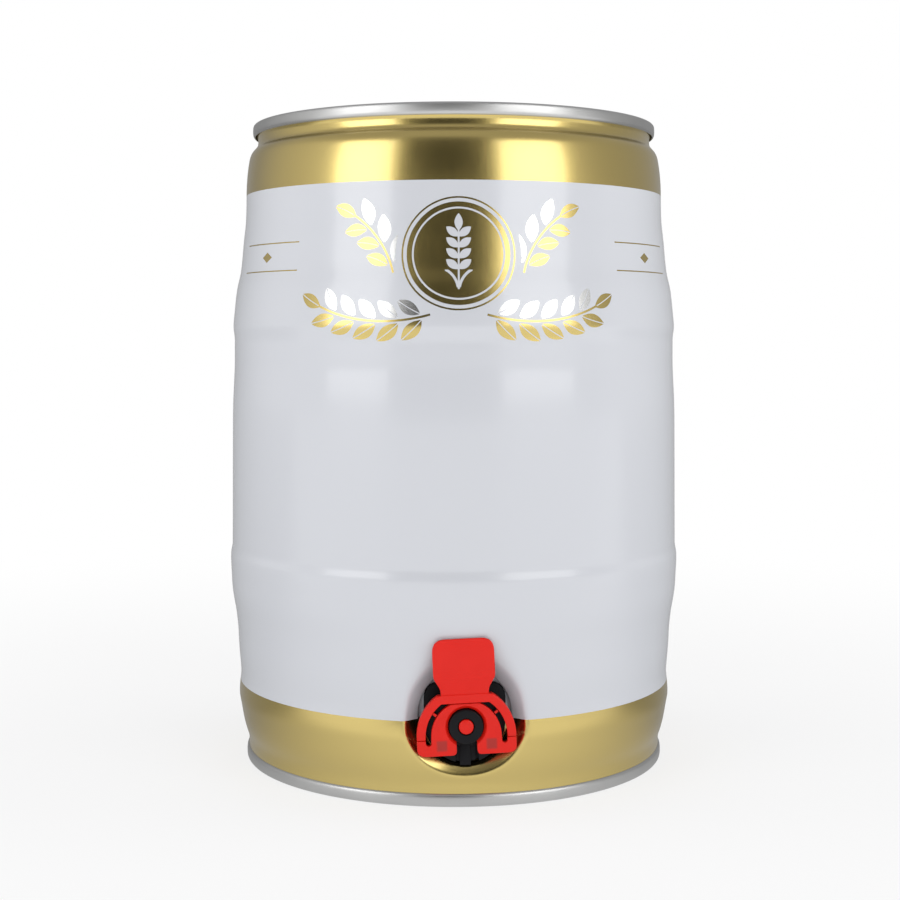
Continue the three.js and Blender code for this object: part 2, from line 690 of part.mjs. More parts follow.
function handleShape() {
  const shape = new THREE.Shape();
  const footX = ARCH_RADIUS - FOOT_CORNER;
  const footY = FOOT_DROP - FOOT_CORNER;
  const slotX = (bandInner + plateArch) / 2;
  const top = archAngle(plateArch, plateTop);
  const mouthRadius = HUB_RADIUS + FIT;
  const mouth = Math.asin(JAW_HALF_GAP / mouthRadius) - Math.PI / 2;
  const jawX = JAW_HALF_GAP + JAW_CORNER;
  const jawY = JAW_CORNER - FOOT_DROP;
  shape.absarc(footX, -footY, FOOT_CORNER, -Math.PI / 2, 0);
  shape.lineTo(ARCH_RADIUS, hingeFoot);
  shape.lineTo(bandInner, hingeFoot);
  shape.absarc(slotX, -SLOT_DROP, SLOT_WIDTH / 2, 0, -Math.PI, true);
  shape.absarc(0, -ARCH_DROP, plateArch, 0, top);
  shape.absarc(0, -ARCH_DROP, plateArch, Math.PI - top, Math.PI);
  shape.absarc(-slotX, -SLOT_DROP, SLOT_WIDTH / 2, 0, -Math.PI, true);
  shape.lineTo(-bandInner, hingeFoot);
  shape.lineTo(-ARCH_RADIUS, hingeFoot);
  shape.absarc(-footX, -footY, FOOT_CORNER, Math.PI, 1.5 * Math.PI);
  shape.absarc(-jawX, jawY, JAW_CORNER, 1.5 * Math.PI, 2 * Math.PI);
  shape.absarc(0, 0, mouthRadius, Math.PI - mouth, mouth, true);
  shape.absarc(jawX, jawY, JAW_CORNER, Math.PI, 1.5 * Math.PI);
  return shape;
}

function handlePlate() {
  const mouthRadius = HUB_RADIUS + FIT;
  const chamferBackY = handleBackY - MOUTH_STRAIGHT;
  const slope = (MOUTH_CHAMFER + FIT) / (chamferBackY - handleFrontY);
  const chamfer = solidOf(turnedY([
    [0, chamferBackY],
    [mouthRadius - FIT, chamferBackY],
    [mouthRadius + MOUTH_CHAMFER + slope * CHAMFER_OVERSHOOT, handleFrontY - CHAMFER_OVERSHOOT],
    [0, handleFrontY - CHAMFER_OVERSHOOT],
  ], TAP_SIDES));
  const half = PEG_SIZE / 2 + FIT;
  const sockets = [-PEG_X, PEG_X].map((x) => solidOf(block(
    [x - half, handleBackY - PEG_LENGTH - FIT, -PEG_DROP - half],
    [x + half, handleBackY + OVERSHOOT, -PEG_DROP + half],
  )));
  const plate = solidOf(slab(handleShape(), handleBackY, HANDLE_THICKNESS));
  return geometryOf(plate.subtract(chamfer).subtract(sockets[0]).subtract(sockets[1]));
}

function bandShape() {
  const shape = new THREE.Shape();
  const outerTop = archAngle(ARCH_RADIUS, BAND_TOP);
  const innerTop = archAngle(bandInner, bandUnder);
  shape.moveTo(bandInner, hingeTop);
  shape.lineTo(ARCH_RADIUS, hingeTop);
  shape.absarc(0, -ARCH_DROP, ARCH_RADIUS, 0, outerTop);
  shape.absarc(0, -ARCH_DROP, ARCH_RADIUS, Math.PI - outerTop, Math.PI);
  shape.lineTo(-ARCH_RADIUS, hingeTop);
  shape.lineTo(-bandInner, hingeTop);
  shape.absarc(0, -ARCH_DROP, bandInner, Math.PI, Math.PI - innerTop, true);
  shape.absarc(0, -ARCH_DROP, bandInner, innerTop, 0, true);
  return shape;
}

function flapOutline() {
  const shape = new THREE.Shape();
  const cornerX = FLAP_HALF_WIDTH - FLAP_CORNER;
  const cornerY = FLAP_TOP - FLAP_CORNER;
  shape.moveTo(-FLAP_WAIST_HALF_WIDTH, BAND_TOP - FLAP_ROOT_DROP);
  shape.lineTo(FLAP_WAIST_HALF_WIDTH, BAND_TOP - FLAP_ROOT_DROP);
  shape.lineTo(FLAP_WAIST_HALF_WIDTH, FLAP_WAIST_HEIGHT);
  shape.lineTo(FLAP_HALF_WIDTH, FLAP_BEND + FLAP_SHOULDER);
  shape.absarc(cornerX, cornerY, FLAP_CORNER, 0, Math.PI / 2);
  shape.absarc(-cornerX, cornerY, FLAP_CORNER, Math.PI / 2, Math.PI);
  shape.lineTo(-FLAP_HALF_WIDTH, FLAP_BEND + FLAP_SHOULDER);
  shape.lineTo(-FLAP_WAIST_HALF_WIDTH, FLAP_WAIST_HEIGHT);
  return shape;
}

// The band and the flap above it, which leans outwards until it stands clear of the barrel.
function pullBail() {
  const band = solidOf(slab(bandShape(), handleBackY, HANDLE_THICKNESS + BAND_PROUD));
  const rootFrontY = handleFrontY + BAND_PROUD;
  const rootBackY = rootFrontY + FLAP_ROOT_THICKNESS;
  const tipFrontY = -BODY_RADIUS;
  const tipBackY = tipFrontY + FLAP_THICKNESS;
  const side = polygon([ // seen from +X: y, then height above the tap axis
    [rootBackY, BAND_TOP - FLAP_ROOT_DROP],
    [rootFrontY, BAND_TOP - FLAP_ROOT_DROP],
    [rootFrontY, BAND_TOP],
    [tipFrontY, FLAP_BEND],
    [tipFrontY, FLAP_TOP + OVERSHOOT],
    [tipBackY, FLAP_TOP + OVERSHOOT],
    [tipBackY, FLAP_BEND + FLAP_CREASE],
    [rootBackY, BAND_TOP + FLAP_CREASE],
  ]);
  const reach = FLAP_HALF_WIDTH + OVERSHOOT;
  const leaf = new THREE.ExtrudeGeometry(side, { depth: 2 * reach, bevelEnabled: false })
    .translate(0, 0, -reach)
    .applyMatrix4(new THREE.Matrix4().makeBasis(
      new THREE.Vector3(0, 1, 0), new THREE.Vector3(0, 0, 1), new THREE.Vector3(1, 0, 0),
    ));
  const outline = solidOf(slab(flapOutline(), handleBackY + OVERSHOOT, 4 * OVERSHOOT));
  return geometryOf(band.add(solidOf(closed(leaf)).intersect(outline)));
}

// A thin bridge in the slot that snaps when the bail is first pulled.
function tamperBridge(side) {
  const radius = (plateArch + bandInner) / 2;
  const bridge = new THREE.BoxGeometry(SLOT_WIDTH - 2 * FIT, BRIDGE_DEPTH, BRIDGE_THICKNESS);
  bridge.translate(radius, handleFrontY + BRIDGE_DEPTH, 0).rotateY(degrees(-BRIDGE_ANGLE));
  if (side < 0) bridge.rotateZ(Math.PI).translate(0, 2 * (handleFrontY + BRIDGE_DEPTH), 0);
  return closed(bridge.translate(0, 0, -ARCH_DROP));
}

// ---------------------------------------------------------------- materials

function finish(colour, roughness, metalness) {
  return () => new THREE.MeshStandardMaterial({ color: colour, roughness, metalness });
}

const lacqueredSteel = finish(0xe2e4ea, 0.3, 0.2);
const bareTinplate = finish(0xc4c4c0, 0.3, 1);
const sealingCompound = finish(0x9a948a, 0.8, 0);
const blackRubber = finish(0x1b1b1d, 0.7, 0);
const blackPlastic = finish(0x141416, 0.45, 0);
const redPlastic = finish(0xd8261c, 0.35, 0);

// ---------------------------------------------------------------- assembly

function piece(name, geometry, material) {
  const mesh = new THREE.Mesh(geometry, material());
  mesh.name = name;
  return mesh;
}

const barrel = new THREE.Group();
barrel.add(
  piece('body_shell', bodyShell(), lacqueredSteel),
  piece('top_end', topEnd(), bareTinplate),
  piece('bottom_end', bottomEnd(), bareTinplate),
  piece('top_seam_sealant', sealant(topFlangeRadius, HEIGHT - flangeStop + FIT), sealingCompound),
  piece('bottom_seam_sealant', sealant(bottomFlangeRadius, TINPLATE + FIT), sealingCompound),
);

const vent = new THREE.Group();
vent.add(
  piece('vent_grommet', ventGrommet(), blackRubber),
  piece('vent_bush', ventBush(), blackPlastic),
  piece('vent_plug', ventPlug(), redPlastic),
  piece('vent_o_ring', ventSeal(), blackRubber),
);

const tap = new THREE.Group();
tap.position.z = TAP_HEIGHT;
tap.add(
  piece('tap_housing', tapHousing(), blackPlastic),
  piece('housing_gasket', housingGasket(), blackRubber),
  piece('housing_lock_ring', housingLockRing(), blackPlastic),
  piece('housing_seal', housingSeal(), blackRubber),
  piece('spout_tube', spoutTube(), blackPlastic),
  piece('spout_stop_ring', spoutStopRing(), blackPlastic),
);

const handle = new THREE.Group();
handle.rotation.y = degrees(-HANDLE_LEAN);
handle.add(
  piece('valve_core', valveCore(), redPlastic),
  piece('core_seal_front', coreSealFront(), blackRubber),
  piece('core_seal_rear', coreSealRear(), blackRubber),
  piece('drive_collar', driveCollar(), blackPlastic),
  piece('handle_plate', handlePlate(), redPlastic),
  piece('pull_bail', pullBail(), redPlastic),
  piece('tamper_bridge_left', tamperBridge(-1), redPlastic),
  piece('tamper_bridge_right', tamperBridge(1), redPlastic),
);
tap.add(handle);

const keg = new THREE.Group();
keg.add(barrel, vent, tap);

export default keg;
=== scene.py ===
# %% [markdown]
# # A five-litre party keg
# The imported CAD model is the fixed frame. Each visible piece is rebuilt around it with smooth
# sections and soft edges, and the inner pieces keep their CAD shape under a better material.

import json
from math import atan2, cos, hypot, pi, radians, sin, sqrt

import bmesh
import bpy
from mathutils import Matrix, Vector


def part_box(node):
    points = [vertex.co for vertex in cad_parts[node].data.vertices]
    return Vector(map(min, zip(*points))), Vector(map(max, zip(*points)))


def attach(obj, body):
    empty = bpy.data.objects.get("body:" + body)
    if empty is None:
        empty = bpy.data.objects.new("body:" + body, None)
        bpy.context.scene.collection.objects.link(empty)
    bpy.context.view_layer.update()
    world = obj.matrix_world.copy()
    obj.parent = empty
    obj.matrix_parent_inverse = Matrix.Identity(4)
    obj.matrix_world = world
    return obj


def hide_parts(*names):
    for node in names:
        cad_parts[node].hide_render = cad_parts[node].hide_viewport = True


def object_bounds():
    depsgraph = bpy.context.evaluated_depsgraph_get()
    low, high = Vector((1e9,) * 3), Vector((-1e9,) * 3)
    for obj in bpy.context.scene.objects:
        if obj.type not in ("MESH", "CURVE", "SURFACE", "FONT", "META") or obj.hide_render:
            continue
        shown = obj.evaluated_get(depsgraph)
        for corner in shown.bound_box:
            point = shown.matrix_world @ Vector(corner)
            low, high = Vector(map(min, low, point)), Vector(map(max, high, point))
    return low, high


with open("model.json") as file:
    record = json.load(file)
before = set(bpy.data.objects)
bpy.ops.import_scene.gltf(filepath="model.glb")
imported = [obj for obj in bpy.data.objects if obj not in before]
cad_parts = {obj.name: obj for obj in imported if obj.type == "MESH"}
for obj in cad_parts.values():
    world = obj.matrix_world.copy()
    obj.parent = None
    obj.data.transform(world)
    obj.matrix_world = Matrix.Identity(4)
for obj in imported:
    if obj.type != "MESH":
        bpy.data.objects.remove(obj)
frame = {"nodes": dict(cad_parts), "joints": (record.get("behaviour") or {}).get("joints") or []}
cad_low, cad_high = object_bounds()
scene = bpy.context.scene

# %% [markdown]
# Lengths are written in millimetres and scaled at the end. The places that tie a new piece to its
# neighbours are read from the boxes of the CAD nodes, so both models stay in step.

# %% Places taken from the frame
MM = 0.001


def box_mm(node):
    low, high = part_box(node)
    return low / MM, high / MM


RIM_Z = cad_high.z / MM
WIDEST = cad_high.x / MM
TAP_Z = (box_mm("housing_gasket")[0].z + box_mm("housing_gasket")[1].z) / 2
bail_joint = next(j for j in frame["joints"] if j["name"] == "bail_pull")
LEAN = -atan2(bail_joint["axis"][2], bail_joint["axis"][0])
AT_TAP = Matrix.Translation((0, 0, TAP_Z))
AT_HANDLE = AT_TAP @ Matrix.Rotation(LEAN, 4, "Y")
print(f"rim {RIM_Z:.1f}, widest {WIDEST:.1f}, tap {TAP_Z:.1f} mm up, handle leans {LEAN:.3f} radians")

# %% [markdown]
# Three helpers carry most of the modelling. A turned piece is a half section spun round an axis. A
# flat piece is an outline that is extruded and then bevelled. Corners are rounded in the section
# or outline itself, so that the edge catches light the way pressed tin and moulded plastic do.

# %% Rounded paths


def rounded(corners, closed=False, steps=4):
    """A path through (a, b, cut) corners, each cut back by cut and rounded."""
    path = []
    count = len(corners)
    for i, (a, b, cut) in enumerate(corners):
        here = Vector((a, b))
        if not cut or (not closed and i in (0, count - 1)):
            path.append(here)
            continue
        before = Vector(corners[i - 1][:2]) - here
        after = Vector(corners[(i + 1) % count][:2]) - here
        start = here + before.normalized() * min(cut, before.length * 0.49)
        end = here + after.normalized() * min(cut, after.length * 0.49)
        for k in range(steps + 1):
            t = k / steps
            path.append(start * (1 - t) ** 2 + here * (2 * t * (1 - t)) + end * t ** 2)
    return [(p.x, p.y) for p in path]


def arc(centre, radius, start, end, steps):
    """Points on an arc, with the angles in degrees."""
    turns = [radians(start + (end - start) * k / steps) for k in range(steps + 1)]
    return [(centre[0] + radius * cos(t), centre[1] + radius * sin(t)) for t in turns]


# %% Turned and flat pieces


def turned(pairs, axis="Y", steps=96, closed=False):
    """Spins (radius, place along the axis) pairs all the way round."""
    bm = bmesh.new()
    along = Vector((0, 0, 1)) if axis == "Z" else Vector((0, 1, 0))
    verts = [bm.verts.new(Vector((r, 0, 0)) + along * a) for r, a in pairs]
    ends = zip(verts, verts[1:] + verts[:1]) if closed else zip(verts, verts[1:])
    edges = [bm.edges.new(pair) for pair in ends]
    bmesh.ops.spin(bm, geom=verts + edges, cent=(0, 0, 0), axis=along, angle=2 * pi,
                   steps=steps, use_merge=True)
    bmesh.ops.remove_doubles(bm, verts=bm.verts, dist=0.001)
    bmesh.ops.recalc_face_normals(bm, faces=bm.faces)
    return bm


def bevel(bm, edges, width, segments=2):
    bmesh.ops.bevel(bm, geom=edges, offset=width, offset_type="OFFSET", affect="EDGES",
                    segments=segments, profile=0.5, material=-1, clamp_overlap=True)


def rim_edges(bm, y, turn=50):
    """The sharp edges that lie in the plane at this y."""
    return [e for e in bm.edges if len(e.link_faces) == 2 and e.calc_face_angle() > radians(turn)
            and all(abs(v.co.y - y) < 0.01 for v in e.verts)]


def flat(outline, back, front, soft=0.0, segments=2):
    """An outline of (x, height) points made solid from the back y to the front y."""
    bm = bmesh.new()
    face = bm.faces.new([bm.verts.new((x, back, h)) for x, h in outline])
    made = bmesh.ops.extrude_face_region(bm, geom=[face])
    moved = [g for g in made["geom"] if isinstance(g, bmesh.types.BMVert)]
    bmesh.ops.translate(bm, verts=moved, vec=(0, front - back, 0))
    bmesh.ops.recalc_face_normals(bm, faces=bm.faces)
    if soft:
        bevel(bm, rim_edges(bm, front) + rim_edges(bm, back), soft, segments)
    return bm


def joined(*parts):
    """One bmesh that holds several."""
    whole = parts[0]
    for part in parts[1:]:
        loose = bpy.data.meshes.new("loose")
        part.to_mesh(loose)
        whole.from_mesh(loose)
        bpy.data.meshes.remove(loose)
        part.free()
    return whole


def piece(bm, name, body, material, replaces=None, place=Matrix(), sharp=32):
    """Puts a bmesh into the scene as a named piece in metres, on its body."""
    bmesh.ops.remove_doubles(bm, verts=bm.verts, dist=0.0005)
    bmesh.ops.transform(bm, matrix=Matrix.Scale(MM, 4) @ place, verts=bm.verts)
    for face in bm.faces:
        face.smooth = True
    for edge in bm.edges:
        edge.smooth = len(edge.link_faces) == 2 and edge.calc_face_angle() < radians(sharp)
    mesh = bpy.data.meshes.new(name)
    bm.to_mesh(mesh)
    bm.free()
    mesh.materials.append(material)
    made = bpy.data.objects.new(name, mesh)
    scene.collection.objects.link(made)
    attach(made, body)
    if replaces:
        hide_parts(replaces)
    print(name, len(mesh.polygons), "faces")
    return made


# %% [markdown]
# ## Finishes
# Every finish is a node tree on Object coordinates, so a pattern stays on its piece when the piece
# moves. A short set of helpers keeps the trees readable.

# %% Node helpers


def finish(name, **inputs):
    """A material with its Principled shader; the inputs that are one value all over are set here."""
    material = bpy.data.materials.new(name)
    material.use_nodes = True
    shader = material.node_tree.nodes["Principled BSDF"]
    for key, value in inputs.items():
        shader.inputs[key.replace("_", " ")].default_value = value
    return material, material.node_tree, shader


def node(tree, kind, **settings):
    made = tree.nodes.new(kind)
    for key, value in settings.items():
        setattr(made, key, value)
    return made


def feed(tree, socket, value):
    if isinstance(value, bpy.types.NodeSocket):
        tree.links.new(value, socket)
    else:
        socket.default_value = value


def calc(tree, operation, *values):
    made = node(tree, "ShaderNodeMath", operation=operation)
    for socket, value in zip(made.inputs, values):
        feed(tree, socket, value)
    return made.outputs[0]


def blend(tree, share, low, high):
    """Mixes two colours by a share from 0 to 1."""
    made = node(tree, "ShaderNodeMix", data_type="RGBA")
    feed(tree, made.inputs["Factor"], share)
    feed(tree, made.inputs["A"], low)
    feed(tree, made.inputs["B"], high)
    return made.outputs["Result"]


def spread(tree, value, low, high):
    """Maps a value of 0 to 1 onto low to high."""
    made = node(tree, "ShaderNodeMapRange")
    feed(tree, made.inputs["Value"], value)
    made.inputs["To Min"].default_value = low
    made.inputs["To Max"].default_value = high
    return made.outputs["Result"]


def place_on(tree, stretch=(1, 1, 1)):
    """Object coordinates, stretched."""
    where = node(tree, "ShaderNodeTexCoord").outputs["Object"]
    mapping = node(tree, "ShaderNodeMapping")
    tree.links.new(where, mapping.inputs["Vector"])
    mapping.inputs["Scale"].default_value = stretch
    return mapping.outputs["Vector"]


def noise(tree, size, stretch=(1, 1, 1), detail=3.0):
    """Soft random variation; size is the width of one blotch in millimetres."""
    made = node(tree, "ShaderNodeTexNoise")
    tree.links.new(place_on(tree, stretch), made.inputs["Vector"])
    made.inputs["Scale"].default_value = 1 / (size * MM)
    made.inputs["Detail"].default_value = detail
    return made.outputs["Fac"]


def relief(tree, shader, height, depth, strength=1.0):
    """Bump with its depth in millimetres."""
    made = node(tree, "ShaderNodeBump")
    tree.links.new(height, made.inputs["Height"])
    made.inputs["Distance"].default_value = depth * MM
    made.inputs["Strength"].default_value = strength
    tree.links.new(made.outputs["Normal"], shader.inputs["Normal"])


# %% [markdown]
# ### Printed tinplate
# The barrel is printed flat before it is rolled: a glossy cool white over most of it, and clear gold
# lacquer over bare tin in two bands and in the ornament. Gold and tin are metallic and the white is
# not, so one mask drives both the colour and the metalness. The ornament is a plain roundel with an
# ear of grain between two pairs of sprigs. It is drawn with node math on the unrolled surface, in
# millimetres, which keeps its edges crisp at any distance.

# %% Ornament: distances on the unrolled barrel
LOWER_PRINT = 29.5  # height of the lower gold band's edge
UPPER_PRINT = RIM_Z - 27.0
ORNAMENT_Z = 188.0
ORNAMENT_TURN = radians(1.7)  # the ornament sits a little to -X of the tap
PRINT_RADIUS = 81.0

lacquer, tree, shader = finish("printed_lacquer", Coat_Weight=0.55, Coat_Roughness=0.1)
spot = node(tree, "ShaderNodeSeparateXYZ")
tree.links.new(node(tree, "ShaderNodeTexCoord").outputs["Object"], spot.inputs[0])
front = calc(tree, "MULTIPLY", spot.outputs["Y"], -1.0)
turn = calc(tree, "ADD", calc(tree, "ARCTAN2", spot.outputs["X"], front), ORNAMENT_TURN)
across = calc(tree, "MULTIPLY", turn, PRINT_RADIUS)
height = calc(tree, "MULTIPLY", spot.outputs["Z"], 1 / MM)
up = calc(tree, "SUBTRACT", height, ORNAMENT_Z)
side = calc(tree, "ABSOLUTE", across)


def below(value, limit):
    return calc(tree, "LESS_THAN", value, limit)


def above(value, limit):
    return calc(tree, "GREATER_THAN", value, limit)


def both(a, b):
    return calc(tree, "MULTIPLY", a, b)


def either(*masks):
    whole = masks[0]
    for mask in masks[1:]:
        whole = calc(tree, "MAXIMUM", whole, mask)
    return whole


def without(mask, hole):
    return both(mask, calc(tree, "SUBTRACT", 1.0, hole))


def near(value, target, reach):
    return below(calc(tree, "ABSOLUTE", calc(tree, "SUBTRACT", value, target)), reach)


def radius_from(centre):
    a = calc(tree, "SUBTRACT", side, centre[0])
    b = calc(tree, "SUBTRACT", up, centre[1])
    return calc(tree, "SQRT", calc(tree, "ADD", both(a, a), both(b, b))), a, b


# %% Ornament: rows of leaves
VEIN = 0.16  # half the width of the white line down each leaf


def leaf_row(along, off, count, step, length, width, lean, offset, vein=VEIN):
    """Leaves in pairs beside a line: along runs from 0 to count * step, off is the distance to it."""
    cell = calc(tree, "SUBTRACT", calc(tree, "FRACT", calc(tree, "DIVIDE", along, step)), 0.5)
    a = calc(tree, "MULTIPLY", cell, step)
    b = calc(tree, "SUBTRACT", calc(tree, "ABSOLUTE", off), offset)
    c, s = cos(radians(lean)), sin(radians(lean))
    p = calc(tree, "ADD", calc(tree, "MULTIPLY", a, c), calc(tree, "MULTIPLY", b, s))
    q = calc(tree, "ABSOLUTE",
             calc(tree, "SUBTRACT", calc(tree, "MULTIPLY", b, c), calc(tree, "MULTIPLY", a, s)))
    bow = calc(tree, "POWER", calc(tree, "ABSOLUTE", calc(tree, "MULTIPLY", p, 2 / length)), 2.0)
    blade = below(calc(tree, "ADD", bow, calc(tree, "MULTIPLY", q, 2 / width)), 1.0)
    inside = both(above(along, 0.0), below(along, count * step))
    return both(without(blade, below(q, vein)), inside)


def sprig(centre, radius, start, way, count, step, length, width):
    """A curved twig with leaves; returns its outer leaves, inner leaves and stem."""
    far, a, b = radius_from(centre)
    angle = calc(tree, "ARCTAN2", b, a)
    swept = calc(tree, "MULTIPLY", calc(tree, "SUBTRACT", angle, radians(start)), way)
    along = calc(tree, "MULTIPLY", swept, radius)
    off = calc(tree, "SUBTRACT", far, radius)
    leaves = leaf_row(along, off, count, step, length, width, 38, width * 0.5 + 1.6)
    outer = both(leaves, above(off, 0.0))
    inner = both(leaves, below(off, 0.0))
    tip = leaf_row(calc(tree, "SUBTRACT", along, count * step - 1), off, 1, length, length, width, 0, 0)
    inside = both(above(along, -3.0), below(along, count * step))
    stem = both(both(below(calc(tree, "ABSOLUTE", off), 0.38), inside), below(far, 200.0))
    return outer, inner, either(tip, stem)


low_outer, low_inner, low_stem = sprig((25, 34), 57, -103, 1, 5, 7.6, 9.4, 4.6)
high_outer, high_inner, high_stem = sprig((54, -15), 33, 160, -1, 3, 7.6, 9.4, 4.6)
outside_roundel = above(radius_from((0, 0))[0], 21.5)
gold_leaves = both(either(low_outer, low_stem, high_inner, high_stem), outside_roundel)
tin_leaves = both(either(low_inner, high_outer), outside_roundel)

# %% Ornament: the roundel, the ear of grain and the side rules
ROUNDEL = 17.6
far, _, _ = radius_from((0, 0))
ring = near(far, ROUNDEL - 2.1, 0.32)
rim_ring = near(far, ROUNDEL + 1.5, 0.3)
grain_foot = calc(tree, "ADD", up, 5.6)
grains = leaf_row(grain_foot, side, 4, 3.7, 5.4, 2.7, 52, 2.1, 0.0)
top_grain = leaf_row(calc(tree, "SUBTRACT", grain_foot, 13.2), side, 1, 6.0, 6.0, 2.8, 0, 0.0, 0.0)
stalk = both(below(side, 0.32), both(above(up, -12.2), below(up, 9.5)))
stalk_leaf_far, stalk_a, stalk_b = radius_from((8.2, -12.6))
stalk_leaf = both(near(stalk_leaf_far, 8.0, 0.45), both(above(up, -11.6), below(up, -5.6)))
stalk_leaf = both(stalk_leaf, below(side, 4.6))
ear = either(grains, top_grain, stalk, stalk_leaf)
roundel = without(below(far, ROUNDEL), either(ring, ear))

RULE_MIDDLE = 80.0
rule_reach = near(side, RULE_MIDDLE, 19.0)
rules = both(either(near(up, 5.0, 0.22), near(up, -5.0, 0.22)), rule_reach)
rule_side = calc(tree, "ABSOLUTE", calc(tree, "SUBTRACT", side, RULE_MIDDLE))
lozenge = below(calc(tree, "ADD", calc(tree, "DIVIDE", rule_side, 3.4),
                     calc(tree, "DIVIDE", calc(tree, "ABSOLUTE", up), 1.9)), 1.0)
bands = either(below(height, LOWER_PRINT), above(height, UPPER_PRINT))
gold_mask = either(bands, roundel, rim_ring, gold_leaves, rules, lozenge)

# %% [markdown]
# The welded side seam runs down the back. The printer leaves a strip of it bare, so that the weld
# current can pass, and a clear varnish covers it afterwards.

# %% The bare strip, then the colours of the print
WELD_STRIP = 3.2  # half the width of the unprinted strip
strip = both(below(calc(tree, "ABSOLUTE", spot.outputs["X"]), WELD_STRIP * MM), below(front, 0.0))
metal = either(gold_mask, tin_leaves, strip)
tin_part = either(tin_leaves, strip)
WHITE = (0.497, 0.509, 0.543, 1)
GOLD = (0.61, 0.475, 0.165, 1)
TIN = (0.74, 0.74, 0.73, 1)
grain = noise(tree, 1.1, (1, 1, 0.12), 2.0)
cloud = noise(tree, 26.0)
gold_shade = blend(tree, spread(tree, cloud, 0.35, 0.65), (0.585, 0.455, 0.155, 1), GOLD)
white_shade = blend(tree, spread(tree, cloud, 0.3, 0.7), (0.489, 0.501, 0.535, 1), WHITE)
metal_shade = blend(tree, tin_part, gold_shade, TIN)
tree.links.new(blend(tree, metal, white_shade, metal_shade), shader.inputs["Base Color"])
tree.links.new(metal, shader.inputs["Metallic"])
drawn_grain = calc(tree, "MULTIPLY", spread(tree, grain, -0.02, 0.03), metal)
print_rough = calc(tree, "ADD", drawn_grain, spread(tree, metal, 0.26, 0.235))
tree.links.new(print_rough, shader.inputs["Roughness"])
relief(tree, shader, noise(tree, 2.2, detail=1.0), 0.004, 0.6)
print("printed lacquer:", len(tree.nodes), "nodes")

# %% [markdown]
# ### Bare tinplate
# The ends stay silver. Rolled tinplate has a soft satin gloss with a faint grain, and the seaming
# rollers leave fine scratches that run round the rim, so the roughness varies in rings.

# %% Tinplate
tinplate, tree, shader = finish("satin_tinplate", Metallic=1.0)
spot = node(tree, "ShaderNodeSeparateXYZ")
tree.links.new(node(tree, "ShaderNodeTexCoord").outputs["Object"], spot.inputs[0])
far = calc(tree, "SQRT", calc(tree, "ADD", calc(tree, "POWER", spot.outputs["X"], 2.0),
                              calc(tree, "POWER", spot.outputs["Y"], 2.0)))
rings = node(tree, "ShaderNodeCombineXYZ")
tree.links.new(calc(tree, "MULTIPLY", far, 2600.0), rings.inputs[0])
tree.links.new(calc(tree, "MULTIPLY", spot.outputs["Z"], 2600.0), rings.inputs[1])
scratches = node(tree, "ShaderNodeTexNoise")
scratches.inputs["Scale"].default_value = 1.0
tree.links.new(rings.outputs[0], scratches.inputs["Vector"])
tone = blend(tree, noise(tree, 14.0), (0.47, 0.47, 0.465, 1), (0.56, 0.56, 0.555, 1))
tree.links.new(tone, shader.inputs["Base Color"])
tin_rough = calc(tree, "ADD", spread(tree, scratches.outputs["Fac"], 0.3, 0.44),
                 spread(tree, noise(tree, 9.0), -0.03, 0.03))
tree.links.new(tin_rough, shader.inputs["Roughness"])
relief(tree, shader, scratches.outputs["Fac"], 0.006, 0.5)

# %% [markdown]
# ### Plastics and rubber
# The tap is moulded in black and red plastic. Moulded plastic is never quite even: it has a fine
# spark texture from the mould, and is slightly shinier where hands rub it. The red handle is thin
# enough for the black pegs behind it to show as two darker squares, so its colour darkens there.

# %% Plastics


def moulded(name, dark, light, rough, texture, depth, **inputs):
    """Plastic with a mould texture; dark and light are the ends of its colour variation."""
    material, tree, shader = finish(name, **inputs)
    tone = blend(tree, noise(tree, 6.0), dark, light)
    tree.links.new(tone, shader.inputs["Base Color"])
    worn = calc(tree, "ADD", spread(tree, noise(tree, 3.0), rough - 0.05, rough + 0.05),
                spread(tree, noise(tree, texture), -0.03, 0.03))
    tree.links.new(worn, shader.inputs["Roughness"])
    relief(tree, shader, noise(tree, texture, detail=2.0), depth, 0.5)
    return material, tree, shader, tone


black = moulded("black_plastic", (0.003, 0.003, 0.004, 1), (0.006, 0.006, 0.0075, 1),
                0.42, 0.25, 0.012, Specular_IOR_Level=0.14)[0]
RED_DARK, RED_LIGHT = (0.56, 0.0085, 0.0035, 1), (0.63, 0.012, 0.006, 1)
RED_GLOSS = {"Specular_IOR_Level": 0.22}
red = moulded("red_plastic", RED_DARK, RED_LIGHT, 0.33, 0.4, 0.008, **RED_GLOSS)[0]
rubber = moulded("black_rubber", (0.018, 0.018, 0.018, 1), (0.032, 0.032, 0.031, 1),
                 0.7, 0.3, 0.02)[0]
sealant = moulded("seam_compound", (0.30, 0.28, 0.25, 1), (0.38, 0.36, 0.32, 1), 0.8, 0.5, 0.03)[0]

PEG_X, PEG_H, PEG_HALF = 8.4, -6.1, 1.7
red_plate, tree, shader, tone = moulded("red_plastic_over_pegs", RED_DARK, RED_LIGHT, 0.33, 0.4, 0.008,
                                        **RED_GLOSS)
spot = node(tree, "ShaderNodeSeparateXYZ")
turned_back = node(tree, "ShaderNodeVectorRotate", rotation_type="Y_AXIS")
turned_back.inputs["Center"].default_value = (0, 0, TAP_Z * MM)
turned_back.inputs["Angle"].default_value = -LEAN
tree.links.new(node(tree, "ShaderNodeTexCoord").outputs["Object"], turned_back.inputs["Vector"])
tree.links.new(turned_back.outputs[0], spot.inputs[0])


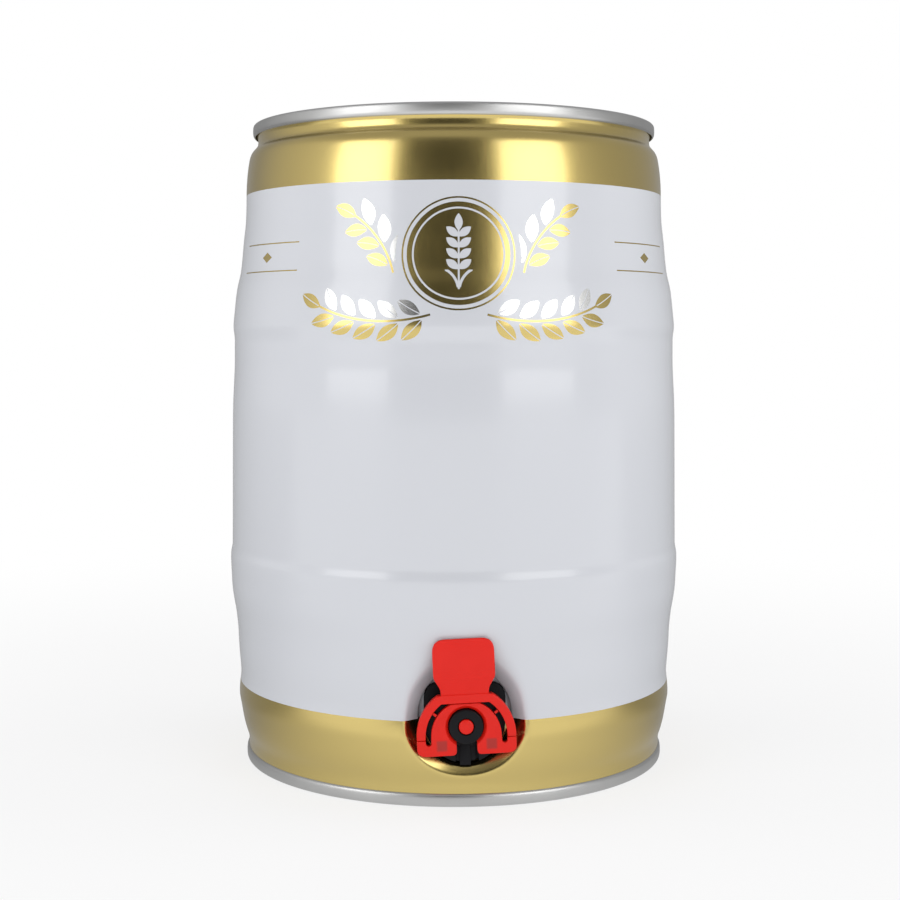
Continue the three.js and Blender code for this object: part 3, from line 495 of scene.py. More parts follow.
def edge_share(value, middle):
    """1 inside a peg's half width, and 0 half a millimetre outside it, along one direction."""
    gap = calc(tree, "ABSOLUTE", calc(tree, "SUBTRACT", value, middle * MM))
    made = node(tree, "ShaderNodeMapRange", interpolation_type="SMOOTHSTEP")
    feed(tree, made.inputs["Value"], gap)
    made.inputs["From Min"].default_value = (PEG_HALF - 0.45) * MM
    made.inputs["From Max"].default_value = (PEG_HALF + 0.55) * MM
    made.inputs["To Min"].default_value = 1
    made.inputs["To Max"].default_value = 0
    return made.outputs["Result"]


peg_side = edge_share(calc(tree, "ABSOLUTE", spot.outputs["X"]), PEG_X)
peg_mask = calc(tree, "MULTIPLY", peg_side, edge_share(spot.outputs["Z"], TAP_Z + PEG_H))
shadowed = blend(tree, calc(tree, "MULTIPLY", peg_mask, 0.75), tone, (0.25, 0.027, 0.023, 1))
tree.links.new(shadowed, shader.inputs["Base Color"])

# %% [markdown]
# ## The barrel
# The wall of a keg is one sheet, pressed outwards into two beads that stiffen it and let it swell to
# the middle. Its half section is a few stations with a smooth curve through them. The curve never
# overshoots its stations, which keeps the flat parts flat and the beads crisp. The same function
# later places the pocket's edge on the wall.

# %% Wall section
STATIONS = [  # (height, distance inside the widest ring)
    (1.7, 7.0), (6.5, 7.0), (8.0, 6.95), (10.4, 6.2), (13.8, 5.2), (20.7, 3.9), (24.5, 3.3),
    (27.5, 3.45), (32.0, 3.9), (36.0, 3.65), (39.7, 3.3), (45.0, 2.95), (48.5, 2.8), (52.0, 2.45),
    (55.0, 2.1), (62.6, 0.8), (66.0, 0.45), (70.0, 0.25), (73.6, 0.05), (75.5, 0.0), (77.6, 0.05),
    (79.2, 0.35), (81.0, 0.6), (131.0, 0.7), (143.0, 1.15), (150.0, 1.4), (158.0, 1.4),
    (160.2, 1.25), (162.0, 0.98), (163.5, 0.9), (165.4, 1.0), (168.0, 1.25), (177.0, 2.2),
    (184.0, 3.7), (190.0, 4.35), (196.0, 4.85), (203.0, 5.6), (209.0, 5.8), (215.0, 5.85),
    (221.0, 6.2), (225.0, 6.7), (227.6, 7.2), (229.4, 8.0), (230.8, 9.2), (231.8, 9.95),
    (233.0, 10.25), (234.4, 10.3), (235.4, 10.1), (237.4, 9.1), (238.3, 9.1),
]
heights = [z for z, _ in STATIONS]
radii = [WIDEST - inset for _, inset in STATIONS]
steepness = [(radii[i + 1] - radii[i]) / (heights[i + 1] - heights[i]) for i in range(len(radii) - 1)]
slopes = [0.0]
for a, b in zip(steepness, steepness[1:]):
    slopes.append(0.0 if a * b <= 0 else 2 * a * b / (a + b))
slopes.append(0.0)


def wall_radius(z):
    """The outer radius of the wall at a height, by a curve that keeps between its stations."""
    i = max(k for k in range(len(heights) - 1) if heights[k] <= z or k == 0)
    h = heights[i + 1] - heights[i]
    t = min(max((z - heights[i]) / h, 0), 1)
    return ((2 * t ** 3 - 3 * t ** 2 + 1) * radii[i] + (t ** 3 - 2 * t ** 2 + t) * h * slopes[i]
            + (3 * t ** 2 - 2 * t ** 3) * radii[i + 1] + (t ** 3 - t ** 2) * h * slopes[i + 1])


WINDOW_LOW, WINDOW_HIGH = 6.0, 63.0  # the part of the wall that the tap's pocket takes up
ROW_RUNS = [(1.7, 6.0, 2), (6.0, 30.0, 15), (30.0, 63.0, 17), (63.0, 84.0, 22), (84.0, 142.0, 9),
            (142.0, 172.0, 26), (172.0, 224.0, 22), (224.0, 238.3, 26)]
rows = [ROW_RUNS[0][0]]
for start, end, count in ROW_RUNS:
    rows += [start + (end - start) * (k + 1) / count for k in range(count)]
print(len(rows), "rows; radius at the waist", round(wall_radius(32), 2))

# %% [markdown]
# The tap sits in a round pocket that a punch presses into the finished wall. To model it, a window
# is opened in the spun wall, and the edge of the window is extruded inwards ring by ring: across
# the wall to a circle, over the rolled edge, down the open cone, over its foot and across the
# flat floor to the hole for the tap. Each vertex remembers its direction from the pocket's
# centre, and its whole path follows from that. The cone is shallowest at the bottom, where drops
# have to run off, and its edge is tight at the sides. At the top the sheet is drawn further, so
# the cone is steeper there and the edge is wide and soft.

# %% Pocket path
POCKET_Z = TAP_Z + 1.4
FLOOR_Y = box_mm("housing_gasket")[0].y - 0.8
FOOT_Y, FILLET, HOLE_R = FLOOR_Y - 2.6, 0.9, 11.1
TIGHT_EDGE, SOFT_EDGE = 1.3, 6.0
CONE_SPREAD, CONE_FOOT = 1.27, 16.0  # at the sides: widening per millimetre of depth, and foot radius
TOP_STEEPER, TOP_WIDER = 0.45, 1.0  # what changes towards the top
LOW_SHALLOWER, LOW_WIDER, LOW_RAISED = 0.93, 0.2, 2.4  # and towards the bottom
EDGE_STEPS, SEARCH_STEPS = 7, 16


def on_wall(rho, phi):
    """The point of the wall at a distance and a direction from the pocket's centre."""
    x, z = rho * cos(phi), POCKET_Z + rho * sin(phi)
    return Vector((x, -sqrt(wall_radius(z) ** 2 - x * x), z))


def polar(rho, phi, y, centre=POCKET_Z):
    return Vector((rho * cos(phi), y, centre + rho * sin(phi)))


def curve(a, b, c, steps):
    return [a * (1 - t) ** 2 + b * (2 * t * (1 - t)) + c * t ** 2
            for t in ((k + 1) / steps for k in range(steps))]


def pocket_path(start):
    """Where one vertex of the window's edge goes, ring after ring."""
    phi = atan2(start.z - POCKET_Z, start.x)
    upper, lower = max(0.0, sin(phi)), max(0.0, -sin(phi))
    spread_out = CONE_SPREAD - TOP_STEEPER * upper + LOW_SHALLOWER * lower
    foot_r = CONE_FOOT + TOP_WIDER * upper + LOW_WIDER * lower
    foot_y = FOOT_Y - LOW_RAISED * lower
    rho = foot_r
    for _ in range(SEARCH_STEPS):  # settles on the radius at which the cone meets the wall
        rho = foot_r + spread_out * (foot_y - on_wall(rho, phi).y)
    soft = TIGHT_EDGE + (SOFT_EDGE - TIGHT_EDGE) * upper ** 2.5
    begin = hypot(start.x, start.z - POCKET_Z)
    points = [on_wall(begin + (rho + soft - begin) * t, phi) for t in (0.25, 0.5, 0.75, 1)]
    corner, foot = on_wall(rho, phi), polar(foot_r, phi, foot_y)
    down = (foot - corner).normalized()
    points += curve(points[-1], corner, corner + down * soft, EDGE_STEPS)
    lip = foot - down * 0.5
    points += [points[-1].lerp(lip, 0.5), lip]
    inner_r = foot_r - 0.1
    points += curve(lip, foot, polar(inner_r, phi, foot_y + 0.5), 3)
    points += curve(polar(inner_r, phi, FLOOR_Y - FILLET), polar(inner_r, phi, FLOOR_Y),
                    polar(inner_r - FILLET, phi, FLOOR_Y), 3)
    hole = polar(HOLE_R, phi, FLOOR_Y, TAP_Z)
    return points + [points[-1].lerp(hole, 0.5), hole]


# %% Spin the wall, open the window and draw the pocket
COLUMNS = 192
WINDOW_TURN = 11 * 2 * pi / COLUMNS
skin = bmesh.new()
line = [skin.verts.new((0, wall_radius(z), z)) for z in rows]
line_edges = [skin.edges.new(pair) for pair in zip(line, line[1:])]
bmesh.ops.spin(skin, geom=line + line_edges, cent=(0, 0, 0), axis=(0, 0, 1), angle=2 * pi,
               steps=COLUMNS, use_merge=True)
bmesh.ops.remove_doubles(skin, verts=skin.verts, dist=0.001)


def in_window(point, slack=0.0):
    turned_by = abs(atan2(point.x, -point.y))
    return turned_by < WINDOW_TURN + slack and WINDOW_LOW - slack < point.z < WINDOW_HIGH + slack


gone = [f for f in skin.faces if in_window(f.calc_center_median())]
bmesh.ops.delete(skin, geom=gone, context="FACES")
loop = [e for e in skin.edges if len(e.link_faces) == 1 and all(in_window(v.co, 0.01) for v in e.verts)]
starts = skin.verts.layers.float_vector.new("window_start")
for vert in {v for e in loop for v in e.verts}:
    vert[starts] = vert.co
paths = {}
for ring_number in range(len(pocket_path(Vector((0, 0, WINDOW_HIGH))))):
    made = bmesh.ops.extrude_edge_only(skin, edges=loop)
    loop = [g for g in made["geom"] if isinstance(g, bmesh.types.BMEdge)]
    for vert in (g for g in made["geom"] if isinstance(g, bmesh.types.BMVert)):
        key = tuple(round(c, 3) for c in vert[starts])
        if key not in paths:
            paths[key] = pocket_path(Vector(vert[starts]))
        vert.co = paths[key][ring_number]
print(len(gone), "faces opened,", len(paths), "paths of", ring_number + 1, "rings")

# %% [markdown]
# The side weld is a narrow mashed overlap. The wall is cut along it with four planes, and the middle
# strip is pressed in by a tenth of a millimetre. Then the sheet gets its real thickness inwards.

# %% Side weld and sheet thickness
WELD_HALF, WELD_SLOPE, WELD_DEPTH, SHEET = 0.55, 0.25, 0.14, 0.5


def cut_across(bm, faces, point, normal):
    """Cuts some faces of a bmesh along a plane and keeps both sides."""
    cut = {*faces, *(e for f in faces for e in f.edges), *(v for f in faces for v in f.verts)}
    bmesh.ops.bisect_plane(bm, geom=list(cut), dist=0.0001, plane_co=point, plane_no=normal)


for x in (-WELD_HALF - WELD_SLOPE, -WELD_HALF, WELD_HALF, WELD_HALF + WELD_SLOPE):
    back_part = [f for f in skin.faces if f.calc_center_median().y > 0]
    cut_across(skin, back_part, (x, 0, 0), (1, 0, 0))
for vert in skin.verts:
    if vert.co.y > 0 and abs(vert.co.x) < WELD_HALF + 0.01:
        vert.co.y -= WELD_DEPTH
skin.verts.layers.float_vector.remove(starts)
bmesh.ops.recalc_face_normals(skin, faces=skin.faces)
outward = max(skin.faces, key=lambda f: f.calc_center_median().x)
if outward.normal.x < 0:
    bmesh.ops.reverse_faces(skin, faces=skin.faces)
barrel = piece(skin, "barrel_skin", "keg", lacquer, "body_shell", sharp=50)
wall = barrel.modifiers.new("sheet", "SOLIDIFY")
wall.thickness = SHEET * MM
wall.offset = -1
wall.use_even_offset = True

# %% [markdown]
# ## The ends
# Each end is a pressed disc. From the rim inwards it has the rolled double seam, the chuck wall
# that the seaming tool bears on, a deep groove, and the panel with its ring bead. The section
# is drawn as one line with rounded corners, spun, and given the sheet's thickness downwards.

# %% End sections
SEAM_HEIGHT, SEAM_WIDTH, SINK, PANEL = 4.5, 2.1, 6.4, 5.2


def end_section(outer, foot, hole):
    """(radius, depth below the rim) points of an end, from the seam's hook to the hole."""
    inner = outer - SEAM_WIDTH
    return rounded([
        (outer - SHEET - 0.4, SEAM_HEIGHT - 0.1, 0), (outer - 0.75, SEAM_HEIGHT, 0.2),
        (outer - 0.15, SEAM_HEIGHT - 0.6, 0.7), (outer, 2.4, 1.0), (outer - 0.1, 0, 1.5),
        (inner + 0.05, 0, 0.7), (inner, 1.3, 0.6), (foot, SINK - 0.1, 0.7),
        (foot - 1.6, SINK, 0.7), (foot - 2.3, PANEL, 0.5),
        (64.5, PANEL, 0.9), (63.8, PANEL + 0.45, 0.5), (62.2, PANEL + 0.45, 0.5), (61.5, PANEL, 0.9),
        (58.2, PANEL, 0.9), (57.0, PANEL - 1, 0.9), (51.0, PANEL - 1, 0.9), (49.8, PANEL, 0.9),
        (40.0, PANEL, 0), (hole + 8, PANEL, 0), (hole, PANEL, 0),
    ], steps=5)


def end_piece(section, rim, up, name, node_name):
    """Spins an end about the keg's axis, as a closed shell with the sheet's thickness."""
    bm = turned([(r, rim - up * depth) for r, depth in section], "Z", 192)
    shown = max(bm.faces, key=lambda f: -hypot(*f.calc_center_median().xy))
    if shown.normal.z * up < 0:
        bmesh.ops.reverse_faces(bm, faces=bm.faces)
    made = piece(bm, name, "keg", tinplate, node_name, sharp=60)
    sheet = made.modifiers.new("sheet", "SOLIDIFY")
    sheet.thickness = SHEET * MM
    sheet.offset = -1
    return made


top_outer = box_mm("top_end")[1].x
bottom_outer = box_mm("bottom_end")[1].x
end_piece(end_section(top_outer, 73.8, 13.0), RIM_Z, 1, "top_lid", "top_end")
end_piece(end_section(bottom_outer, 77.4, 0.0), 0.0, -1, "bottom_lid", "bottom_end")

# %% [markdown]
# ## The vent
# A rubber grommet seals the hole in the lid, and a plastic bush in it holds the red plug that is
# turned to let air in. All three are turned pieces. The plug's finger bar is what is left between
# two sunk half rounds, so its head is an outline with two insets.

# %% Grommet, bush and plug
grommet_low, grommet_high = box_mm("vent_grommet")
bush_low, bush_high = box_mm("vent_bush")
plug_low, plug_high = box_mm("vent_plug")
lip = grommet_high.x
top = grommet_high.z
panel_top = RIM_Z - PANEL
piece(turned(rounded([
    (9.5, top, 0.3), (lip, top, 0.6), (lip, panel_top + 0.3, 0.3), (12.7, panel_top + 0.3, 0.2),
    (12.7, panel_top - 0.8, 0.2), (lip, panel_top - 0.8, 0.4), (12.7, grommet_low.z, 0.5),
    (9.5, grommet_low.z, 0.3)], closed=True), "Z", 72, closed=True),
    "vent_seal_ring", "keg", rubber, "vent_grommet")
piece(turned(rounded([
    (6.6, bush_high.z, 0.25), (bush_high.x, bush_high.z, 0.35), (bush_high.x, bush_high.z - 0.8, 0.2),
    (9.2, bush_high.z - 0.8, 0.1), (9.2, bush_low.z, 0.3), (6.6, bush_low.z, 0.2)], closed=True),
    "Z", 72, closed=True), "vent_sleeve", "keg", black, "vent_bush")

head_top, head_r = plug_high.z, plug_high.x
head_foot = head_top - 1.9
plug = turned(rounded([
    (0, head_top - 1.2, 0), (8.6, head_top - 1.2, 0.2), (8.75, head_top, 0.25),
    (head_r, head_top, 0.35), (head_r, head_foot, 0.2), (6.3, head_foot, 0.1),
    (6.3, bush_high.z - 1.4, 0.1), (5.1, bush_high.z - 1.4, 0.1), (5.1, bush_high.z - 3.0, 0.1),
    (6.3, bush_high.z - 3.0, 0.1), (6.3, plug_low.z, 0.3), (0, plug_low.z, 0)]), "Z", 72)
bar = flat(rounded([(-8.7, -2.0, 0), (8.7, -2.0, 0), (8.7, 2.0, 0), (-8.7, 2.0, 0)], closed=True),
           -(head_top - 1.6), -head_top, 0.3)
bmesh.ops.rotate(bar, verts=bar.verts, cent=(0, 0, 0), matrix=Matrix.Rotation(radians(-90), 3, "X"))
arrow = flat([(-0.9, 2.9), (0.9, 2.9), (0, 6.2)], -(head_top - 1.5), -(head_top - 0.75), 0.15)
bmesh.ops.rotate(arrow, verts=arrow.verts, cent=(0, 0, 0), matrix=Matrix.Rotation(radians(-90), 3, "X"))
piece(joined(plug, bar, arrow), "vent_turn_plug", "vent", red, "vent_plug")

# %% [markdown]
# ## The tap
# From the keg outwards: a black face plate with the sleeve that the spout slides in, the spout with
# its downward mouth, the black drive collar, the red handle plate on the collar's pegs, and the
# red bail that is pulled out to break the seal. Shapes are given in the tap's own frame: x across,
# height above the tap axis, and y as the depth. The handle's pieces share its small lean.

# %% Face plate and sleeve
housing_low, housing_high = box_mm("tap_housing")
FACE_BACK = housing_low.y + 1.8
FACE_R, FACE_TOP, FACE_CORNER, BORE = 14.0, 13.2, 5.9, 8.3
face_outline = arc((0, 0), FACE_R, 180, 360, 48)
face_outline += rounded([(FACE_R, 0.1, 0), (FACE_R, FACE_TOP, FACE_CORNER),
                         (-FACE_R, FACE_TOP, FACE_CORNER), (-FACE_R, 0.1, 0)], steps=10)[1:-1]
face = flat(face_outline, FACE_BACK, housing_low.y, 0.45, 3)
sleeve = turned(rounded([(BORE, housing_low.y - 0.02, 0.2), (BORE + 0.7, housing_low.y - 0.02, 0.2),
                         (BORE + 2.5, FACE_BACK - 0.5, 0), (BORE + 2.5, housing_high.y, 0.4),
                         (BORE, housing_high.y, 0.4)], closed=True), "Y", 72, closed=True)
piece(joined(face, sleeve), "tap_face", "keg", black, "tap_housing", AT_TAP)

# %% Spout
spout_low, spout_high = box_mm("spout_tube")
SPOUT_R, SPOUT_BORE = 8.0, 5.0
tube_front = spout_low.y + 0.12
groove_front = box_mm("spout_stop_ring")[0].y - 0.3
groove_back = box_mm("spout_stop_ring")[1].y + 0.3
tube = turned(rounded([
    (SPOUT_BORE, tube_front, 0.2), (SPOUT_R, tube_front, 0.5), (SPOUT_R, groove_front, 0.1),
    (SPOUT_R - 0.8, groove_front, 0.1), (SPOUT_R - 0.8, groove_back, 0.1), (SPOUT_R, groove_back, 0.1),
    (SPOUT_R, spout_high.y, 0.5), (SPOUT_BORE, spout_high.y, 0.3)], closed=True), "Y", 72, closed=True)
NECK_BACK, NECK_TOP = housing_low.y - 0.3, -5.5


def hanging(half, foot, corner):
    """The outline of a bar that hangs from inside the tube down to its foot."""
    return rounded([(-half, NECK_TOP, 0), (-half, foot, corner), (half, foot, corner),
                    (half, NECK_TOP, 0)], closed=True)


NECK_HALF = 3.9
neck = flat(hanging(NECK_HALF, -12.9, 1.6), NECK_BACK, spout_low.y + 0.7, 0.35)
ridge = flat(hanging(1.9, -14.2, 0.4), NECK_BACK - 0.35, spout_low.y, 0.3)
mouth_face = max((f for f in ridge.faces if f.normal.z < -0.99), key=lambda f: f.calc_area())
bmesh.ops.inset_individual(ridge, faces=[mouth_face], thickness=0.35, depth=0, use_even_offset=True)
bmesh.ops.inset_individual(ridge, faces=[mouth_face], thickness=0.03, depth=-6.0, use_even_offset=True)
piece(joined(tube, neck, ridge), "spout", "spout", black, "spout_tube", AT_TAP)

# %% Drive collar, pegs and valve core
collar_low, collar_high = box_mm("drive_collar")
COLLAR_R, HUB_R, PIN_R = 13.0, 5.8, 2.5
COLLAR_FRONT = collar_high.y - 1.5
hub = turned(rounded([
    (PIN_R + 0.3, collar_high.y, 0.1), (HUB_R, collar_high.y, 0), (HUB_R, collar_low.y, 0.55),
    (PIN_R + 0.3, collar_low.y, 0.25)], closed=True, steps=5), "Y", 96, closed=True)
gap_turn = 180 / pi * 0.3046  # half the opening that the neck of the spout stands in
collar_outline = arc((0, 0), COLLAR_R, -90 + gap_turn, 270 - gap_turn, 96)
collar_outline += [(-NECK_HALF, -4.2), (NECK_HALF, -4.2)]
collar_disc = flat(collar_outline, collar_high.y, COLLAR_FRONT, 0.3)
peg_corners = [(-PEG_HALF, -PEG_HALF), (PEG_HALF, -PEG_HALF), (PEG_HALF, PEG_HALF), (-PEG_HALF, PEG_HALF)]
pegs = [flat(rounded([(x + a, PEG_H + b, 0.4) for a, b in peg_corners], closed=True),
             COLLAR_FRONT + 0.5, COLLAR_FRONT - 1.9, 0.2) for x in (-PEG_X, PEG_X)]
piece(joined(hub, collar_disc, *pegs), "tap_collar", "handle", black,
      "drive_collar", AT_HANDLE)

core_low, core_high = box_mm("valve_core")
seal_low, seal_high = box_mm("core_seal_rear")
CORE_R = 4.7
piece(turned(rounded([
    (0, spout_low.y + 0.8, 0), (2.6, spout_low.y + 0.8, 0.2), (2.6, core_high.y, 0.2),
    (7.0, core_high.y, 0.3), (7.0, core_high.y - 2.0, 0.2), (CORE_R, core_high.y - 2.0, 0.2),
    (CORE_R, seal_high.y + 0.3, 0.1), (3.5, seal_high.y + 0.3, 0.1), (3.5, seal_low.y - 0.3, 0.1),
    (CORE_R, seal_low.y - 0.3, 0.1), (CORE_R, spout_low.y + 1.2, 0.1), (3.4, spout_low.y + 1.2, 0.1),
    (3.4, spout_low.y, 0.1), (PIN_R, spout_low.y, 0.1), (PIN_R, core_low.y + 0.35, 0.35),
    (1.5, core_low.y, 0.5), (0, core_low.y, 0)]), "Y", 72),
    "valve_pin", "handle", red, "valve_core", AT_HANDLE)

# %% [markdown]
# The handle plate is a flat moulding with an arched outline. The two slots that part it from the
# bail's band are open at the top and end in a half round, so they belong to the outline. Its
# round mouth goes over the collar's hub and has a wide chamfer.

# %% Handle plate
plate_low, plate_high = box_mm("handle_plate")
ARCH_R, ARCH_H, BAND, SLOT = 16.8, -3.2, 3.0, 1.9
band_inner = ARCH_R - BAND
plate_arch = band_inner - SLOT
plate_top = 7.7
HINGE_H, SLOT_H, FOOT_H = -4.15, -5.1, -9.5


def reach_turn(radius, h):
    """The angle, in degrees, at which an arch of this radius comes to a height."""
    return atan2(h - ARCH_H, sqrt(radius ** 2 - (h - ARCH_H) ** 2)) * 180 / pi


def mirrored(half):
    """A closed outline from its +X half, given from the bottom to the top."""
    return half + [(-x, h) for x, h in reversed(half)]


MOUTH_R, JAW = HUB_R + 0.3, 3.5
mouth_turn = 180 / pi * atan2(-sqrt(MOUTH_R ** 2 - JAW ** 2), JAW)
slot_x = (band_inner + plate_arch) / 2
plate_half = rounded([(JAW, -5.2, 0), (JAW, FOOT_H, 1.5), (ARCH_R, FOOT_H, 3.2), (ARCH_R, HINGE_H, 0.25),
                      (band_inner, HINGE_H, 0.25), (band_inner, SLOT_H, 0)], steps=6)[1:]
plate_half += arc((slot_x, SLOT_H), SLOT / 2, 0, -180, 8)[1:-1]
plate_half += arc((0, ARCH_H), plate_arch, 0, reach_turn(plate_arch, plate_top), 22)
mouth = arc((0, 0), MOUTH_R, mouth_turn, 90, 24)
plate_outline = mirrored(plate_half)
plate_outline += [(-x, h) for x, h in mouth][:-1] + mouth[::-1]
plate = flat(plate_outline, plate_high.y, plate_low.y)
mouth_edges = [e for e in rim_edges(plate, plate_low.y)
               if all(abs(hypot(v.co.x, v.co.z) - MOUTH_R) < 0.05 for v in e.verts)]
bevel(plate, mouth_edges, 0.95, 1)
other_edges = [e for e in rim_edges(plate, plate_low.y) + rim_edges(plate, plate_high.y)
               if all(hypot(v.co.x, v.co.z) > MOUTH_R + 1.25 for v in e.verts)]
bevel(plate, other_edges, 0.32, 3)
piece(plate, "tap_handle", "handle", red_plate, "handle_plate", AT_HANDLE)

# %% [markdown]
# The bail is one moulding: a band that follows the arch, with a flat top, and a pull flap above it.
# The flap leans outwards from the band and then stands upright, clear of the barrel. Both are
# outlines that share one edge. The flap is cut along its creases, and then each vertex gets the
# depth that belongs to its height, at the front and at the back. A panel that sinks in towards
# the top of the flap leaves the raised edge.

# %% Pull bail
bail_low, bail_high = box_mm("pull_bail")
BAND_TOP, BAND_UNDER, BEND, FLAP_TOP = 10.8, 8.0, 16.5, 30.0
band_front = plate_low.y - 0.6
flap_front = bail_low.y
NECK_X, FLAP_X = 8.15, 10.45  # half the flap's width at its neck and above it
FLAP_T, PANEL_FOOT = 1.1, 18.2


def front_at(h):
    """The band's front, and above it the flap's, which starts a little lower and leans outwards."""
    if h < BAND_TOP + 0.05:
        return band_front
    share = min(max((h - BAND_TOP) / (BEND - BAND_TOP), 0), 1)
    return band_front + 0.35 + (flap_front - band_front - 0.35) * share


def back_at(h):
    """The band is as deep as the plate; above it only the flap's own thickness is left."""
    thin = front_at(h) + FLAP_T + 0.2 * min(max((BEND - h) / (BEND - BAND_TOP), 0), 1)
    return plate_high.y if h < BAND_TOP + 0.05 else thin


band_half = [(ARCH_R - 0.25, -3.85), (ARCH_R, -3.6)]
band_half += arc((0, ARCH_H), ARCH_R, 0, reach_turn(ARCH_R, BAND_TOP), 26)[1:] + [(NECK_X, BAND_TOP)]
inner_half = arc((0, ARCH_H), band_inner, reach_turn(band_inner, BAND_UNDER), 0, 22)[:-1]
inner_half += [(band_inner, -3.6), (band_inner + 0.25, -3.85)]
flap_half = rounded([(NECK_X, BAND_TOP, 0), (NECK_X, 13.0, 1.4), (FLAP_X, PANEL_FOOT - 1.2, 1.2),
                     (FLAP_X, FLAP_TOP, 4.4), (0, FLAP_TOP, 0)], steps=7)[1:-1]
bail = bmesh.new()
band_verts = [bail.verts.new((x, 0, h)) for x, h in mirrored(band_half)]
inner_path = [(-x, h) for x, h in reversed(inner_half)] + inner_half
inner_verts = [bail.verts.new((x, 0, h)) for x, h in inner_path]
bail.faces.new(band_verts + inner_verts)
right, left = band_verts[len(band_half) - 1], band_verts[len(band_half)]
bail.faces.new([right] + [bail.verts.new((x, 0, h)) for x, h in mirrored(flap_half)] + [left])
for h in (BAND_TOP + 0.3, 12.2, 14.0, 15.6, 16.1, BEND, PANEL_FOOT):
    flap = [f for f in bail.faces if f.calc_center_median().z > BAND_TOP]
    cut_across(bail, flap, (0, 0, h), (0, 0, 1))
made = bmesh.ops.extrude_face_region(bail, geom=bail.faces[:])
behind = {g for g in made["geom"] if isinstance(g, bmesh.types.BMVert)}
for vert in bail.verts:
    vert.co.y = back_at(vert.co.z) if vert in behind else front_at(vert.co.z)
bmesh.ops.recalc_face_normals(bail, faces=bail.faces)
flap_face = max((f for f in bail.faces if f.normal.y < -0.99 and f.calc_center_median().z > BEND + 1),
                key=lambda f: f.calc_area())
bmesh.ops.inset_individual(bail, faces=[flap_face], thickness=1.0, depth=0, use_even_offset=True)
bmesh.ops.inset_individual(bail, faces=[flap_face], thickness=0.5, depth=0, use_even_offset=True)
sunk_from = min(v.co.z for v in flap_face.verts)
for vert in flap_face.verts:
    vert.co.y += 0.3 * (vert.co.z - sunk_from) / (FLAP_TOP - sunk_from)
rim = [e for e in bail.edges if len(e.link_faces) == 2 and e.calc_face_angle() > radians(60)
       and abs(e.verts[0].co.y - e.verts[1].co.y) < 1.2
       and abs(e.link_faces[0].normal.y) + abs(e.link_faces[1].normal.y) > 0.6]
bevel(bail, rim, 0.32, 3)
piece(bail, "pull_bail_moulding", "bail", red, "pull_bail", AT_HANDLE)

# %% [markdown]
# ## Inner pieces
# Seals, rings and the sealing compound keep their CAD shape, which is already right, and get the
# finishes made above.

# %% Finishes for the carried-over nodes
KEPT = {
    "top_seam_sealant": sealant, "bottom_seam_sealant": sealant, "vent_o_ring": rubber,
    "housing_gasket": rubber, "housing_seal": rubber, "core_seal_front": rubber,
    "core_seal_rear": rubber, "housing_lock_ring": black, "spout_stop_ring": black,
    "tamper_bridge_left": red, "tamper_bridge_right": red,
}
for name, material in KEPT.items():
    slots = frame["nodes"][name].material_slots
    for slot in slots:
        slot.material = material
print(len(KEPT), "CAD nodes refinished")

# %% [markdown]
# ## Studio
# A white floor that fades into a white room, two tall softboxes whose reflections are the bright
# strips on the gold, and a darker space between them where the room behind the camera would be.
# Metal shows what it mirrors, and white paint shows how much light falls on it, so the two are
# set apart: large fill cards light the paint from every side but are hidden from reflections.

# %% Floor
FLOOR_REACH = 6.0
floor_bm = bmesh.new()
bmesh.ops.create_circle(floor_bm, cap_ends=True, segments=96, radius=FLOOR_REACH)
floor_mesh = bpy.data.meshes.new("studio_floor")
floor_bm.to_mesh(floor_mesh)
floor_bm.free()
floor = bpy.data.objects.new("studio_floor", floor_mesh)
scene.collection.objects.link(floor)
floor_paint_and_glow, tree, shader = finish("floor_paint_and_glow", Roughness=0.9)
shader.inputs["Base Color"].default_value = (0.88, 0.88, 0.88, 1)
shader.inputs["Specular IOR Level"].default_value = 0.0
spot = node(tree, "ShaderNodeSeparateXYZ")
tree.links.new(node(tree, "ShaderNodeTexCoord").outputs["Object"], spot.inputs[0])
far = calc(tree, "SQRT", calc(tree, "ADD", calc(tree, "POWER", spot.outputs["X"], 2.0),
                              calc(tree, "POWER", spot.outputs["Y"], 2.0)))


def ramped(tree, value, start, end, low, high):
    """Goes smoothly from low to high while value goes from start to end."""
    made = node(tree, "ShaderNodeMapRange", interpolation_type="SMOOTHSTEP")
    feed(tree, made.inputs["Value"], value)
    for key, number in (("From Min", start), ("From Max", end), ("To Min", low), ("To Max", high)):
        made.inputs[key].default_value = number
    return made.outputs["Result"]


def mixed_shader(tree, share, a, b):
    made = node(tree, "ShaderNodeMixShader")
    feed(tree, made.inputs[0], share)
    tree.links.new(a.outputs[0], made.inputs[1])
    tree.links.new(b.outputs[0], made.inputs[2])
    return made


glow = node(tree, "ShaderNodeEmission")
shown = mixed_shader(tree, ramped(tree, far, 0.1, 0.6, 0.72, 1.0), shader, glow)
# Painted light: every ray but the camera's sees the floor glow, brighter in front of the keg and dimmer
# behind it, in place of the light that would fall there.
lit = node(tree, "ShaderNodeEmission")
tree.links.new(ramped(tree, spot.outputs["Y"], -0.16, 0.03, 1.15, 0.34), lit.inputs["Strength"])
seen = node(tree, "ShaderNodeLightPath").outputs["Is Camera Ray"]
floor_out = mixed_shader(tree, seen, lit, shown)
tree.links.new(floor_out.outputs[0], tree.nodes["Material Output"].inputs[0])
floor_mesh.materials.append(floor_paint_and_glow)

